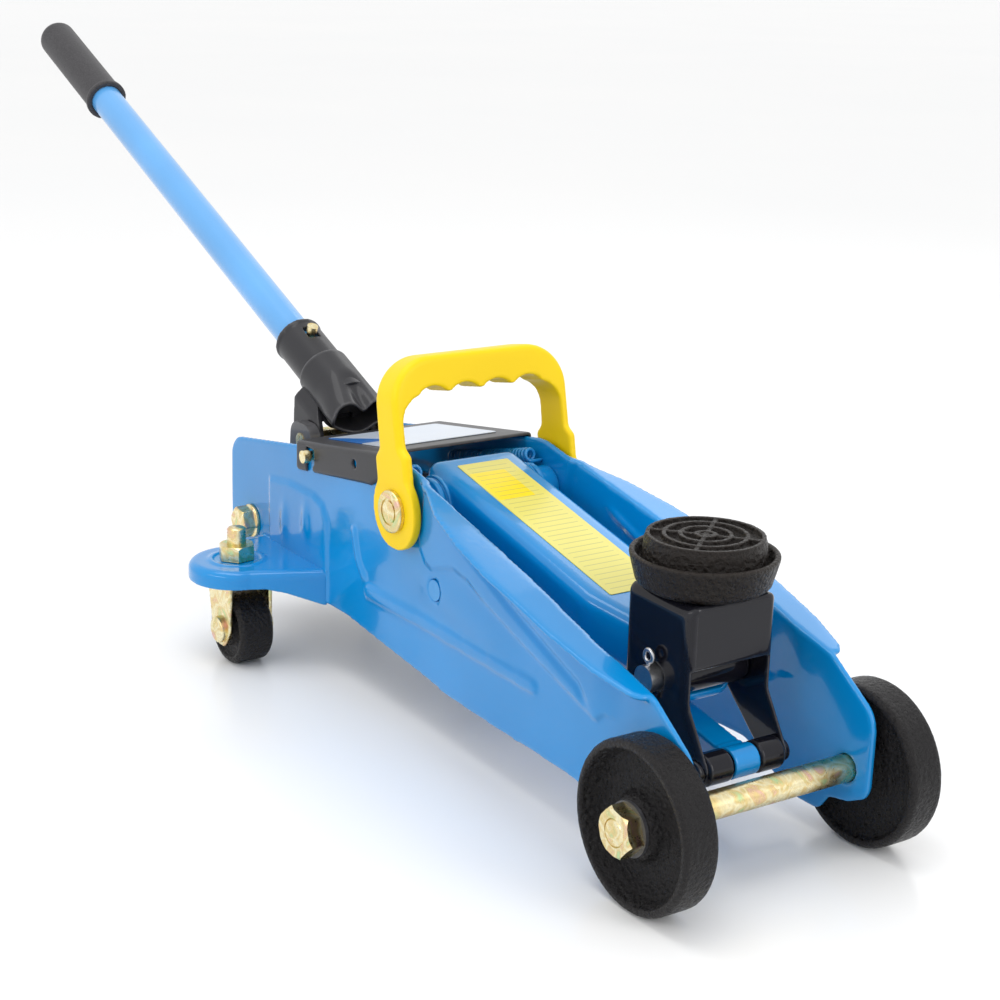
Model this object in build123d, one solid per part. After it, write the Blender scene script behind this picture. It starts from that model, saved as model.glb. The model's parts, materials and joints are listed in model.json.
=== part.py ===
from build123d import *
import math
import os

# Low-profile hydraulic trolley jack, millimetres. While it is being modelled x = 0 is the front
# axle, +X points to the saddle end, +Y is the left side and z = 0 is the floor. The finished
# nodes are then shifted along X, so that the origin is under the middle of the whole jack.

# ---- front wheels and axle ----
WHEEL_R = 36.0
WHEEL_OUT_Y = 68.1
WHEEL_W = 17.0
AXLE_R = 6.0
AXLE_NUT_AF = 19.0
AXLE_NUT_H = 7.0
RUN_GAP = 0.05          # radial clearance of a running fit
CLEAR = 0.3             # gap between pieces that move past each other

# ---- side plates ----
SHEET = 3.0
REAR_X = -401.0
REAR_Y = 42.6           # outer face, from the rear to where the plates start to splay
FRONT_Y = 49.4          # outer face beside the front wheels
SPLAY_X0 = -200.0
SPLAY_X1 = -22.0
TIE_BOLT = (-373.0, 60.0)
COVER_PIN = (-305.6, 111.3)
LOBE_X = 14.5
BEND_X0 = -219.8        # crest of the plate, where the sloping front edge starts
BEND_Z0 = 130.2
BEND_XM = -94.0          # the edge is slightly crowned: its middle point
BEND_ZM = 103.6
BEND_X1 = -13.0
BEND_Z1 = 83.0
FLANGE_END_X = -14.0

# ---- lift arm, shaft and levelling link ----
PIVOT = (-213.0, 107.0)
SADDLE_PIN = (-43.7, 76.0)
LINK_OFFSET = (28.7, -32.0)     # link pins lie this far from the arm's two pivots
LINK_ANCHOR = (PIVOT[0] + LINK_OFFSET[0], PIVOT[1] + LINK_OFFSET[1])
LINK_PIN = (SADDLE_PIN[0] + LINK_OFFSET[0], SADDLE_PIN[1] + LINK_OFFSET[1])
SHAFT_R = 8.0
ARM_T = 3.5
ARM_HALF_W = 25.0
ARM_NOSE_HALF_W = 17.5
ARM_TOP_SLOPE = -0.22
ARM_TOP_Z0 = 124.6              # top of the arm above the shaft
ARM_LIFT_DEG = 72.0

# ---- saddle ----
SADDLE_TOP = 135.0
PAD_R = 25.1
CUP_R = 31.5
BRACKET_HALF_W = 23.4
BRACKET_T = 3.0
BRACKET_TOP = 112.0
BRACKET_FRONT_T = 2.4
BRACKET_FRONT_Z = 84.6          # lower edge of the wall between the cheeks, over the arm's nose

# ---- hydraulics ----
RAM_Z = 72.0
RAM_PIN_R = 36.0                # ram pin's distance from the arm shaft
RAM_PIN_DEG = -57.0             # angle of that lever at rest, from straight down
RAM_ROD_R = 11.0
RAM_PISTON = (15.0, 10.0)       # radius and length
HEAD_REAR = 12.2                # ends of the slotted head, from the ram pin
HEAD_FRONT = 9.0
RAM_GLAND_X = -270.0
BLOCK_X0 = -392.0
BLOCK_X1 = -332.0
PLUNGER_X = -369.0
PLUNGER_R = 6.5
PLUNGER_TOP = 96.6
BARREL_Z = (86.0, 89.4)
VALVE_Z = 60.0

SPRING_ENDS = ((-292.0, 104.0), (-219.0, 122.5))    # the return springs' axes, in X and Z
SPRING_Y = 33.5

# ---- pump lever and handle ----
LEVER_PIVOT = (-352.0, 106.0)
ROLLER_Z = 102.0
HANDLE_FOOT = (-320.4, 116.4)   # a point of the handle's axis, from which S is counted
HANDLE_DEG = 22.57
TUBE_R = 9.9
SOCKET_R = 13.2
SOCKET_S = (12.0, 88.0)
TUBE_S = (30.0, 374.0)
GRIP_S = (372.0, 466.0)
GRIP_R = 12.0

# ---- cover, carry handle, casters ----
COVER_X = (-321.0, -234.0)
COVER_Z = (116.2, 129.7)
COVER_Y = 44.6
COVER_T = 1.6
BAIL_LEAN = 10.6
BAIL_Y = 49.6
BAIL_T = 4.6
BAIL_TOP = 72.0
EAR_TOP = 54.0
STEM_X = -330.0
STEM_Y = 74.5
EAR_R = 25.2
CASTER_X = -324.5
CASTER_R = 18.9
CASTER_W = 19.0
STEM_R = 5.0


def cyl(axis, r, lo, hi, a, b):
    """Cylinder along axis from lo to hi. a and b are its other two coordinates, in X, Y, Z order."""
    mid = (lo + hi) / 2
    body = Cylinder(r, hi - lo)
    if axis == "x":
        return Pos(mid, a, b) * Rot(0, 90, 0) * body
    if axis == "y":
        return Pos(a, mid, b) * Rot(90, 0, 0) * body
    return Pos(a, b, mid) * body


def ring(axis, r_out, r_in, lo, hi, a, b):
    return cyl(axis, r_out, lo, hi, a, b) - cyl(axis, r_in, lo - 1, hi + 1, a, b)


def profile_y(points, y0, y1, radius=0.0):
    """Closed outline in X and Z, extruded along Y."""
    line = FilletPolyline(*points, radius=radius, close=True)
    plane = Plane(origin=(0, y1, 0), x_dir=(1, 0, 0), z_dir=(0, -1, 0))
    return extrude(plane * make_face(line), y1 - y0)


def profile_z(points, z0, z1, radius=0.0):
    """Closed outline in X and Y, extruded along Z."""
    line = FilletPolyline(*points, radius=radius, close=True)
    return extrude(Pos(0, 0, z0) * make_face(line), z1 - z0)


def hexagon(axis, flats, lo, hi, a, b, turn=0.0):
    """Hexagonal prism with its corners chamfered by a cone, along axis from lo to hi."""
    height = hi - lo
    prism = extrude(RegularPolygon(flats / 2, 6, major_radius=False, rotation=turn), height)
    cone_top = flats / 2 + 0.25
    cone = Pos(0, 0, height / 2) * Cone(cone_top + height, cone_top, height)
    nut = Pos(0, 0, -height / 2) * (prism & cone)
    mid = (lo + hi) / 2
    if axis == "x":
        return Pos(mid, a, b) * Rot(0, 90, 0) * nut
    if axis == "y":
        return Pos(a, mid, b) * Rot(-90, 0, 0) * nut
    return Pos(a, b, mid) * nut


def mirrored(shape):
    return mirror(shape, about=Plane.XZ)


def along_handle(s, lift=0.0):
    """Point (x, z) at distance s up the handle's axis, moved off it by lift."""
    c = math.cos(math.radians(HANDLE_DEG))
    n = math.sin(math.radians(HANDLE_DEG))
    return (HANDLE_FOOT[0] - s * c + lift * n, HANDLE_FOOT[1] + s * n + lift * c)


def handle_cyl(r, s0, s1):
    x, z = along_handle((s0 + s1) / 2)
    return Pos(x, 0, z) * Rot(0, HANDLE_DEG - 90, 0) * Cylinder(r, s1 - s0)


def ram_pin_place():
    a = math.radians(RAM_PIN_DEG)
    return (PIVOT[0] + RAM_PIN_R * math.sin(a), PIVOT[1] - RAM_PIN_R * math.cos(a))


def ram_travel():
    """How far the ram pin moves forwards while the arm rises."""
    end = math.radians(RAM_PIN_DEG + ARM_LIFT_DEG)
    return RAM_PIN_R * (math.sin(end) - math.sin(math.radians(RAM_PIN_DEG)))


def crest_line(x):
    """Height of the sloping front edge of the side plates."""
    if x < BEND_XM:
        return BEND_Z0 + (x - BEND_X0) * (BEND_ZM - BEND_Z0) / (BEND_XM - BEND_X0)
    return BEND_ZM + (x - BEND_XM) * (BEND_Z1 - BEND_ZM) / (BEND_X1 - BEND_XM)


def plate_face_y(x):
    """Outer face of the left side plate at x."""
    t = min(max((x - SPLAY_X0) / (SPLAY_X1 - SPLAY_X0), 0.0), 1.0)
    return REAR_Y + t * (FRONT_Y - REAR_Y)


def side_plate():
    """Left plate: a splayed wall, with a flange turned outwards along its front edge."""
    outline = [(REAR_X, 35), (REAR_X, 100.2), (BEND_X0, BEND_Z0), (BEND_XM, BEND_ZM),
               (BEND_X1, BEND_Z1), (LOBE_X, 64), (LOBE_X, 27), (2, 21), (-9, 19), (-15, 10.5),
               (-32, 11), (-62, 27), (-172, 25.5), (-268, 35)]
    radii = [6, 13, 40, 90, 12, 14, 8, 6, 5, 6, 10, 20, 60, 40]
    face = profile_y(outline, 0, 90, radii)
    plan = [(REAR_X - 5, REAR_Y), (SPLAY_X0, REAR_Y), (SPLAY_X1, FRONT_Y), (LOBE_X + 5, FRONT_Y)]
    back = [(x, y - SHEET) for x, y in reversed(plan)]
    wall = profile_z(plan + back, 0, 145) & face
    skin = 2.6
    flange_edge = [(-207, 40.6), (-189, 47), (-168, 55.5), (-140, 61.5), (-110, 64.5), (-67, 64.2),
                   (-38, 61.5), (-18, 56.5), (FLANGE_END_X, 53), (FLANGE_END_X, FRONT_Y - 1),
                   (SPLAY_X1, FRONT_Y - 1), (SPLAY_X0, REAR_Y - 1)]
    flange_plan = profile_z(flange_edge, 60, 140, [0, 20, 30, 30, 40, 50, 20, 3, 2, 0, 0, 0])
    strip = [(x, crest_line(x)) for x in (-208, BEND_XM, FLANGE_END_X)]
    strip += [(x, z - skin) for x, z in reversed(strip)]
    flange = flange_plan & profile_y(strip, 30, 80, [0, 90, 0, 0, 87, 0])
    plate = wall + flange
    rib = profile_y([(-250, 58), (-98, 60), (-90, 57.4), (-98, 54.5), (-250, 52)], REAR_Y - 0.5, 60, 2.4)
    shell = [(x, y + 1.6) for x, y in plan] + back
    plate = plate + (rib & profile_z(shell, 0, 145))
    holes = cyl("y", AXLE_R, 30, 60, 0, WHEEL_R)
    holes += cyl("y", SHAFT_R, 30, 60, PIVOT[0], PIVOT[1])
    holes += cyl("y", 5.0, 30, 60, LINK_ANCHOR[0], LINK_ANCHOR[1])
    holes += cyl("y", 5.0, 30, 60, TIE_BOLT[0], TIE_BOLT[1])
    holes += cyl("y", 2.5, 30, 60, COVER_PIN[0], COVER_PIN[1])
    return plate - holes


def caster_ear():
    """Left ear: a pressed shelf with a rim turned down all round, welded to the plate."""
    wall_y = REAR_Y
    front_x = -289.0
    rear_x = -362.0
    disc = Pos(STEM_X, STEM_Y) * Circle(EAR_R)
    web = make_face(Polyline((front_x, wall_y), (STEM_X + 22.5, STEM_Y + 10), (STEM_X, STEM_Y + EAR_R - 1),
                             (STEM_X - 22.5, STEM_Y + 10), (rear_x, wall_y), close=True))
    plan = disc + web
    floor = 30.0
    outer = extrude(Pos(0, 0, floor) * plan, EAR_TOP - floor)
    outer = fillet(outer.faces().sort_by(Axis.Z)[-1].edges().filter_by(
        lambda e: e.center().Y > wall_y + 0.5), 4.0)
    inner_plan = offset(plan, -SHEET) + make_face(
        Polyline((front_x - 4, wall_y - 2), (front_x - 6, wall_y + 8), (rear_x + 6, wall_y + 8),
                 (rear_x + 4, wall_y - 2), close=True))
    inner = extrude(Pos(0, 0, floor - 1) * inner_plan, EAR_TOP - SHEET - floor + 1)
    under = Plane(origin=(STEM_X, 0, 0), x_dir=(0, 1, 0), z_dir=(1, 0, 0)) * make_face(
        Polyline((wall_y - 5, 20), (wall_y - 5, 35), (wall_y + 2, 35), (62, 42), (72, 44.5), (110, 44.5),
                 (110, 20), close=True))
    ear = outer - inner - extrude(under, 60, both=True)
    ear = ear - cyl("z", STEM_R, 30, 60, STEM_X, STEM_Y)
    boss = ring("z", 14.5, 12.8, EAR_TOP - 0.5, EAR_TOP + 0.8, STEM_X, STEM_Y)
    return ear + boss


def top_cover():
    """Sheet cover over the hydraulics: a sloping top with a flange over each side plate."""
    x0, x1 = COVER_X
    z0, z1 = COVER_Z
    side = profile_y([(x0, z0 - 16), (x0, z0), (x1, z1), (x1, z1 - 13), (x1 - 10, z1 - 19),
                      (x1 - 16, z1 - 19.6)], -COVER_Y, COVER_Y, [2.5, 1.5, 1.5, 1, 2, 4])
    long_edges = side.edges().filter_by(lambda e: abs(abs(e.center().Y) - COVER_Y) < 0.01
                                        and e.center().Z > 120 and e.length > 40)
    side = fillet(long_edges, 2.2)
    slope = (z1 - z0) / (x1 - x0)
    drop = COVER_T
    inside = profile_y([(x0 - 5, 80), (x0 - 5, z0 - drop - 5 * slope), (x1 + 5, z1 - drop + 5 * slope),
                        (x1 + 5, 80)], -COVER_Y + COVER_T, COVER_Y - COVER_T)
    cover = side - inside
    slot = profile_y([(-309.6, 90), (-309.6, 115.4), (-300.8, 115.4), (-300.8, 108), (-302.6, 106),
                      (-302.6, 90)], -60, 60)
    pressed = [Pos(-259.8, sy * COVER_Y, 118.2) * Sphere(2.4) for sy in (-1, 1)]
    return cover - slot - pressed[0] - pressed[1]


def cover_pins():
    parts = []
    for sy in (-1, 1):
        lo, hi = sorted((sy * (REAR_Y - SHEET), sy * (COVER_Y + 4.2)))
        pin = cyl("y", 2.5, lo, hi, COVER_PIN[0], COVER_PIN[1])
        head = sorted((sy * (COVER_Y + 0.6), sy * (COVER_Y + 4.2)))
        pin += cyl("y", 3.3, head[0], head[1], COVER_PIN[0], COVER_PIN[1])
        parts.append(pin)
    return parts


def cover_label():
    x0, x1 = COVER_X
    z0, z1 = COVER_Z
    slope = math.degrees(math.atan2(z1 - z0, x1 - x0))
    plate = Box(x1 - x0 - 16, 2 * COVER_Y - 18, 0.4)
    plate = fillet(plate.edges().filter_by(Axis.Z), 2.0)
    return Pos((x0 + x1) / 2 - 1, 0, (z0 + z1) / 2 + 0.2) * Rot(0, -slope, 0) * plate


def front_wheel():
    """Left front wheel: a turned iron wheel with a deep recess in both faces."""
    yo, yi = WHEEL_OUT_Y, WHEEL_OUT_Y - WHEEL_W
    half = [(AXLE_R + RUN_GAP, yi), (13, yi), (13, yi + 3.5), (31.5, yi + 3.5), (32.5, yi), (34.6, yi),
            (WHEEL_R, yi + 1.6), (WHEEL_R, yo - 1.6), (34.6, yo), (32.5, yo), (30.5, yo - 4.0),
            (14, yo - 4.0), (12, yo - 1.5), (AXLE_R + RUN_GAP, yo - 1.5)]
    face = make_face(Polyline(*[(r, y, 0) for r, y in half], close=True))
    return Pos(0, 0, WHEEL_R) * revolve(face, Axis.Y)


def front_axle():
    end = WHEEL_OUT_Y + AXLE_NUT_H + 0.4
    rod = cyl("y", AXLE_R, -end, end, 0, WHEEL_R)
    return chamfer(rod.edges().filter_by(GeomType.CIRCLE), 0.8)


def axle_nuts():
    lo = WHEEL_OUT_Y - 1.5 + 1.7
    nut = hexagon("y", AXLE_NUT_AF, lo, lo + AXLE_NUT_H, 0, WHEEL_R, 12)
    nut = nut - cyl("y", AXLE_R, 60, 90, 0, WHEEL_R)
    return [nut, mirrored(nut)]


def axle_washers():
    """Washers on both sides of each front wheel."""
    lo = WHEEL_OUT_Y - 1.5 + 0.1
    outside = ring("y", 11.5, AXLE_R, lo, lo + 1.6, 0, WHEEL_R)
    inside = ring("y", 10.0, AXLE_R, FRONT_Y, WHEEL_OUT_Y - WHEEL_W - 0.1, 0, WHEEL_R)
    return [outside, mirrored(outside), inside, mirrored(inside)]


def arm_shaft():
    end = REAR_Y + 0.2
    return cyl("y", SHAFT_R, -end, end, PIVOT[0], PIVOT[1])


def shaft_collars():
    collar = ring("y", 13.5, SHAFT_R, ARM_HALF_W + 2.6, ARM_HALF_W + 5.6, PIVOT[0], PIVOT[1])
    tube = ring("y", 11.0, SHAFT_R, ARM_HALF_W + 5.6, REAR_Y - SHEET - 0.1, PIVOT[0], PIVOT[1])
    left = collar + tube
    return [left, mirrored(left)]


def bail_bolts():
    """Low-headed bolts that hold the carry handle on the ends of the arm shaft."""
    lo = BAIL_Y + 0.15
    head = cyl("y", 10.4, lo, lo + 2.6, PIVOT[0], PIVOT[1])
    head = fillet(head.edges().sort_by(Axis.Y)[-1], 1.2)
    head = head - ring("y", 6.6, 5.4, lo + 1.9, lo + 5, PIVOT[0], PIVOT[1])
    shank = cyl("y", 5.0, REAR_Y + 0.2, lo, PIVOT[0], PIVOT[1])
    bolt = head + shank
    return [bolt, mirrored(bolt)]


def arm_side_outline(inset=0.0):
    """Side view of the lift arm. inset shrinks it for the hollow inside."""
    def top(x):
        return ARM_TOP_Z0 + (x - PIVOT[0]) * ARM_TOP_SLOPE - inset
    return [(-226 + inset, 96), (-226 + inset, top(-226)), (-26, top(-26)), (-26, 60 + inset),
            (-60, 63 + inset), (-120, 82 - 0.0), (-190, 94), (-205, 94)]


def lift_arm():
    """Folded channel, open below, with a closed box nose and two levers for the ram pin."""
    outer = profile_y(arm_side_outline(), -40, 40, [9, 7, 1, 9, 12, 20, 6, 5])
    nose = ARM_NOSE_HALF_W
    wide = ARM_HALF_W
    soft = [0, 30, 30, 0, 0, 30, 30, 0]
    plan = [(-240, wide), (-92, wide), (-68, nose), (-15, nose)]
    plan += [(x, -y) for x, y in reversed(plan)]
    body = outer & profile_z(plan, 40, 140, soft)
    top_edges = body.edges().filter_by(lambda e: e.center().Z > ARM_TOP_Z0 + (e.center().X - PIVOT[0])
                                       * ARM_TOP_SLOPE - 4 and abs(e.center().Y) > 10 and e.length > 1)
    body = fillet(top_edges.filter_by(lambda e: abs(e.tangent_at(0.5).Y) < 0.6), 6.0)
    t = ARM_T
    hollow_plan = [(-240, wide - t), (-92, wide - t), (-68, nose - t), (-10, nose - t)]
    hollow_plan += [(x, -y) for x, y in reversed(hollow_plan)]
    slope_end = ARM_TOP_Z0 + (-10 - PIVOT[0]) * ARM_TOP_SLOPE - t
    slope_start = ARM_TOP_Z0 + (-230 - PIVOT[0]) * ARM_TOP_SLOPE - t
    hollow_side = [(-230, 40), (-230, slope_start), (-10, slope_end), (-10, 60 + t), (-58, 63 + t), (-64, 40)]
    hollow = profile_y(hollow_side, -40, 40, [0, 0, 0, 0, 1, 0]) & profile_z(hollow_plan, 30, 140, soft)
    body = body - hollow
    boss = ring("y", 13.0, SHAFT_R + RUN_GAP, -wide - 2.3, wide + 2.3, PIVOT[0], PIVOT[1])
    boss = boss - cyl("y", 20, -12, 12, PIVOT[0], PIVOT[1])
    pin_x, pin_z = ram_pin_place()
    lever = Plane(origin=(0, 15.5, 0), x_dir=(1, 0, 0), z_dir=(0, -1, 0)) * make_hull(
        (Sketch() + [Pos(PIVOT[0], PIVOT[1]) * Circle(13), Pos(pin_x, pin_z) * Circle(9)]).edges())
    lever = extrude(lever, 5)
    lever = lever + mirrored(lever)
    bore = 6.0 + RUN_GAP
    sleeve = ring("y", 9.5, bore, -nose + t - 0.2, nose - t + 0.2, SADDLE_PIN[0], SADDLE_PIN[1])
    body = body + boss + lever - cyl("y", SHAFT_R + RUN_GAP, -40, 40, PIVOT[0], PIVOT[1])
    body = body - cyl("y", 5.0, -30, 30, pin_x, pin_z)
    body = body - cyl("y", bore, -40, 40, SADDLE_PIN[0], SADDLE_PIN[1]) - sleeve
    return max(body.solids(), key=lambda solid: solid.volume)


def pivot_sleeve():
    t = ARM_T
    end = ARM_NOSE_HALF_W - t + 0.2
    return ring("y", 9.5, 6.0 + RUN_GAP, -end, end, SADDLE_PIN[0], SADDLE_PIN[1])


def ram_pin():
    x, z = ram_pin_place()
    return cyl("y", 5.0, -16.5, 16.5, x, z)


def arm_label():
    slope = -math.degrees(math.atan(ARM_TOP_SLOPE))
    length = 128.0
    mid_x = -150.0
    mid_z = ARM_TOP_Z0 + (mid_x - PIVOT[0]) * ARM_TOP_SLOPE
    plate = fillet(Box(length, 29, 0.3).edges().filter_by(Axis.Z), 1.0)
    return Pos(mid_x, 0, mid_z + 0.18) * Rot(0, slope, 0) * plate


def saddle_pin():
    end = BRACKET_HALF_W + 6.0
    pin = cyl("y", 6.0, -end, end, SADDLE_PIN[0], SADDLE_PIN[1])
    for sy in (-1, 1):
        pin -= cyl("z", 1.2, 60, 90, SADDLE_PIN[0], sy * (BRACKET_HALF_W + 3.4))
    return pin


def split_pins():
    parts = []
    for sy in (-1, 1):
        y = sy * (BRACKET_HALF_W + 3.4)
        leg = cyl("z", 1.1, SADDLE_PIN[1] - 9.5, SADDLE_PIN[1] + 8, SADDLE_PIN[0], y)
        eye = Pos(SADDLE_PIN[0], y, SADDLE_PIN[1] + 10) * Rot(90, 0, 0) * Torus(2.6, 1.0)
        parts.append(leg + eye)
    return parts


def level_link():
    """Flat bar that keeps the saddle level, with an eye at each end."""
    x0, z0 = LINK_ANCHOR
    x1, z1 = LINK_PIN
    half_w = 6.5
    eyes = cyl("y", 8.5, -half_w, half_w, x0, z0) + cyl("y", 8.5, -half_w, half_w, x1, z1)
    length = math.hypot(x1 - x0, z1 - z0)
    turn = -math.degrees(math.atan2(z1 - z0, x1 - x0))
    bar = Pos((x0 + x1) / 2, 0, (z0 + z1) / 2) * Rot(0, turn, 0) * Box(length, 2 * half_w, 8)
    holes = cyl("y", 5.0 + RUN_GAP, -20, 20, x0, z0) + cyl("y", 5.0 + CLEAR, -20, 20, x1, z1)
    return eyes + bar - holes


def anchor_pin():
    end = plate_face_y(LINK_ANCHOR[0]) + 0.8
    return cyl("y", 5.0, -end, end, LINK_ANCHOR[0], LINK_ANCHOR[1])


def anchor_tubes():
    lo, hi = 6.5 + CLEAR, plate_face_y(LINK_ANCHOR[0]) - SHEET - 0.5
    tube = ring("y", 7.5, 5.0, lo, hi, LINK_ANCHOR[0], LINK_ANCHOR[1])
    return [tube, mirrored(tube)]


def saddle_bracket():
    """Inverted channel, open to the front, whose cheeks run down to the link pin."""
    x_back, x_front = -66.0, -22.2
    w = BRACKET_HALF_W
    cheek = [(x_back, BRACKET_TOP), (x_front, BRACKET_TOP), (x_front, 69.5), (-7.5, 45.5), (-11, 36),
             (-22, 36), (-50, 62), (x_back, 66)]
    solid = profile_y(cheek, -w, w, [3, 1.5, 6, 6, 6, 6, 8, 3])
    edges = solid.edges().filter_by(lambda e: abs(abs(e.center().Y) - w) < 0.01
                                    and e.center().Z > BRACKET_TOP - 0.1 and e.length > 20)
    solid = fillet(edges, 5.0)
    t = BRACKET_T
    core = profile_y([(x_back + t, 20), (x_back + t, BRACKET_TOP - t), (x_front + 30, BRACKET_TOP - t),
                      (x_front + 30, 20)], -w + t, w - t, [0, 4, 0, 0])
    behind = Box(20, 2 * (w - t), 60)
    window = Pos(x_back, 0, 95 - 30) * behind
    front = Pos(x_front - BRACKET_FRONT_T / 2, 0, (BRACKET_FRONT_Z + BRACKET_TOP - t) / 2) * Box(
        BRACKET_FRONT_T, 2 * (w - t), BRACKET_TOP - t - BRACKET_FRONT_Z)
    solid = solid - core - window + front
    holes = cyl("y", 6.0 + RUN_GAP, -40, 40, SADDLE_PIN[0], SADDLE_PIN[1])
    holes += cyl("y", 5.0, -40, 40, LINK_PIN[0], LINK_PIN[1])
    holes += cyl("z", 8.0 + RUN_GAP, 100, 120, SADDLE_PIN[0], 0)
    return solid - holes


def link_pin():
    end = BRACKET_HALF_W + 1.0
    return cyl("y", 5.0, -end, end, LINK_PIN[0], LINK_PIN[1])


def saddle_cup():
    """Cast cup that turns on the bracket, with a stem below and a seat for the pad."""
    z0 = BRACKET_TOP + CLEAR
    half = [(0, z0 - 8.5), (8, z0 - 8.5), (8, z0), (25, z0), (28.6, z0 + 2.6), (CUP_R, SADDLE_TOP - 9),
            (CUP_R, SADDLE_TOP - 7.3), (29.2, SADDLE_TOP - 7.3), (27.4, SADDLE_TOP - 12.5),
            (0, SADDLE_TOP - 12.5)]
    face = make_face(Polyline(*[(r, 0, z) for r, z in half], close=True))
    return Pos(SADDLE_PIN[0], 0, 0) * revolve(face, Axis.Z)


def saddle_ring():
    z1 = BRACKET_TOP - BRACKET_T - CLEAR
    z_stem = BRACKET_TOP + CLEAR - 8.5
    plate = Pos(SADDLE_PIN[0], 0, 0) * (ring("z", 12.0, 4.0, z_stem - 2.6, z_stem, 0, 0))
    screw = hexagon("z", 10.0, z_stem - 6.5, z_stem - 2.6, SADDLE_PIN[0], 0)
    return plate + screw


def saddle_pad():
    """Ribbed pad in the cup: rings and a cross of ribs stand on its disc."""
    base = SADDLE_TOP - 12.5
    disc = Pos(0, 0, (base + SADDLE_TOP - 2.2) / 2) * Cone(26.6, 25.6, SADDLE_TOP - 2.2 - base)
    top = SADDLE_TOP
    rings = [ring("z", r, r - 2.0, top - 3.0, top, 0, 0) for r in (PAD_R, 18.4, 11.6, 5.0)]
    cross = Box(2 * PAD_R - 1, 2.2, 2.6) + Box(2.2, 2 * PAD_R - 1, 2.6)
    pad = disc
    for piece in rings:
        pad += piece
    pad += Pos(0, 0, top - 1.6) * Rot(0, 0, 40) * cross
    return Pos(SADDLE_PIN[0], 0, 0) * pad


def pump_block():
    """Cast valve block between the plates, with lugs for the lever and the pump bore."""
    w = REAR_Y - SHEET - 0.1
    block = Pos((BLOCK_X0 + BLOCK_X1) / 2, 0, 62) * Box(BLOCK_X1 - BLOCK_X0, 2 * w, 48)
    block = fillet(block.edges().filter_by(Axis.Y), 4.0)
    block -= Pos(BLOCK_X0, 0, 86) * Box(24, 2 * w + 2, 20)
    lug = profile_y([(-366, 80), (-338, 80), (-341, 116), (-363, 116)], 19.0, 25.0, [0, 0, 8, 8])
    block += lug + mirrored(lug)
    block -= cyl("y", 4.5, -30, 30, LEVER_PIVOT[0], LEVER_PIVOT[1])
    block -= cyl("z", PLUNGER_R + RUN_GAP, 50, 100, PLUNGER_X, 0)
    block -= cyl("y", 5.0, w - 14, w + 1, TIE_BOLT[0], TIE_BOLT[1])
    block -= cyl("y", 5.0, -w - 1, -w + 14, TIE_BOLT[0], TIE_BOLT[1])
    block -= cyl("x", 6.0, BLOCK_X0 - 1, BLOCK_X0 + 13.5, 0, VALVE_Z)
    block -= cyl("z", 3.5, 80, 100, -348, 32)
    block -= cyl("y", 3.5, -w - 1, -w + 8, -345, 52)
    return block


def pump_barrel():
    body = hexagon("z", 21.0, *BARREL_Z, PLUNGER_X, 0)
    return body - cyl("z", PLUNGER_R + 0.6, 70, 100, PLUNGER_X, 0)


def tie_bolts():
    w = REAR_Y - SHEET - 0.1
    head = hexagon("y", 16.5, REAR_Y + 2.0, REAR_Y + 9.4, TIE_BOLT[0], TIE_BOLT[1], 8)
    flange = cyl("y", 9.8, REAR_Y, REAR_Y + 2.0, TIE_BOLT[0], TIE_BOLT[1])
    shank = cyl("y", 5.0, w - 13, REAR_Y + 1.0, TIE_BOLT[0], TIE_BOLT[1])
    bolt = head + flange + shank
    return [bolt, mirrored(bolt)]


def reservoir():
    """Oil tank: a round tube around the ram cylinder, pressed against the valve block."""
    x0, x1 = BLOCK_X1, RAM_GLAND_X - 8
    tank = ring("x", 31.0, 28.5, x0, x1, 0, RAM_Z)
    lid = ring("x", 28.5, 20.0, x1 - 4, x1, 0, RAM_Z)
    filler = cyl("z", 5.0, RAM_Z + 20, RAM_Z + 40, (x0 + x1) / 2, 0)
    return tank + lid - filler


def ram_cylinder():
    return ring("x", 20.0, RAM_PISTON[0], BLOCK_X1, RAM_GLAND_X - 4, 0, RAM_Z)


def ram_gland():
    x0 = RAM_GLAND_X - 4
    nut = hexagon("x", 36.0, x0, RAM_GLAND_X + 4, 0, RAM_Z)
    return nut - cyl("x", RAM_ROD_R + RUN_GAP, x0 - 2, RAM_GLAND_X + 5, 0, RAM_Z)


def filler_plug():
    x = (BLOCK_X1 + RAM_GLAND_X - 8) / 2
    plug = cyl("z", 5.0, RAM_Z + 26, RAM_Z + 31, x, 0) + cyl("z", 7.5, RAM_Z + 31, RAM_Z + 34, x, 0)
    return plug


def piston_front():
    """Front face of the piston at rest: the whole stroke fits between it and the gland."""
    return RAM_GLAND_X - 4 - ram_travel() - 1.5


def ram_rod():
    r, length = RAM_PISTON
    front = piston_front()
    rod = cyl("x", RAM_ROD_R, front, ram_pin_place()[0] - HEAD_REAR, 0, RAM_Z)
    piston = cyl("x", r - RUN_GAP, front - length, front, 0, RAM_Z)
    groove = ring("x", r + 1, 13.2, front - 6.5, front - 3.5, 0, RAM_Z)
    return rod + piston - groove


def piston_seal():
    front = piston_front()
    return ring("x", RAM_PISTON[0] - 0.1, 13.2, front - 6.4, front - 3.6, 0, RAM_Z)


def ram_head():
    """Fork on the ram: the arm's pin rides up and down in its slot."""
    pin_x, pin_z = ram_pin_place()
    lowest = PIVOT[1] - RAM_PIN_R
    x0, x1 = pin_x - HEAD_REAR, pin_x + HEAD_FRONT
    head = profile_y([(x0, lowest - 12), (x1, lowest - 12), (x1, pin_z + 9.1), (x0, pin_z + 9.1)],
                     -9.5, 9.5, 3.0)
    slot_rear, slot_front = x0 + 3.8, x1 - 3.6
    slot = profile_y([(slot_rear, lowest - 5.6), (slot_front, lowest - 5.6), (slot_front, pin_z + 5.6),
                      (slot_rear, pin_z + 5.6)], -20, 20, 4.0)
    return head - slot


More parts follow.
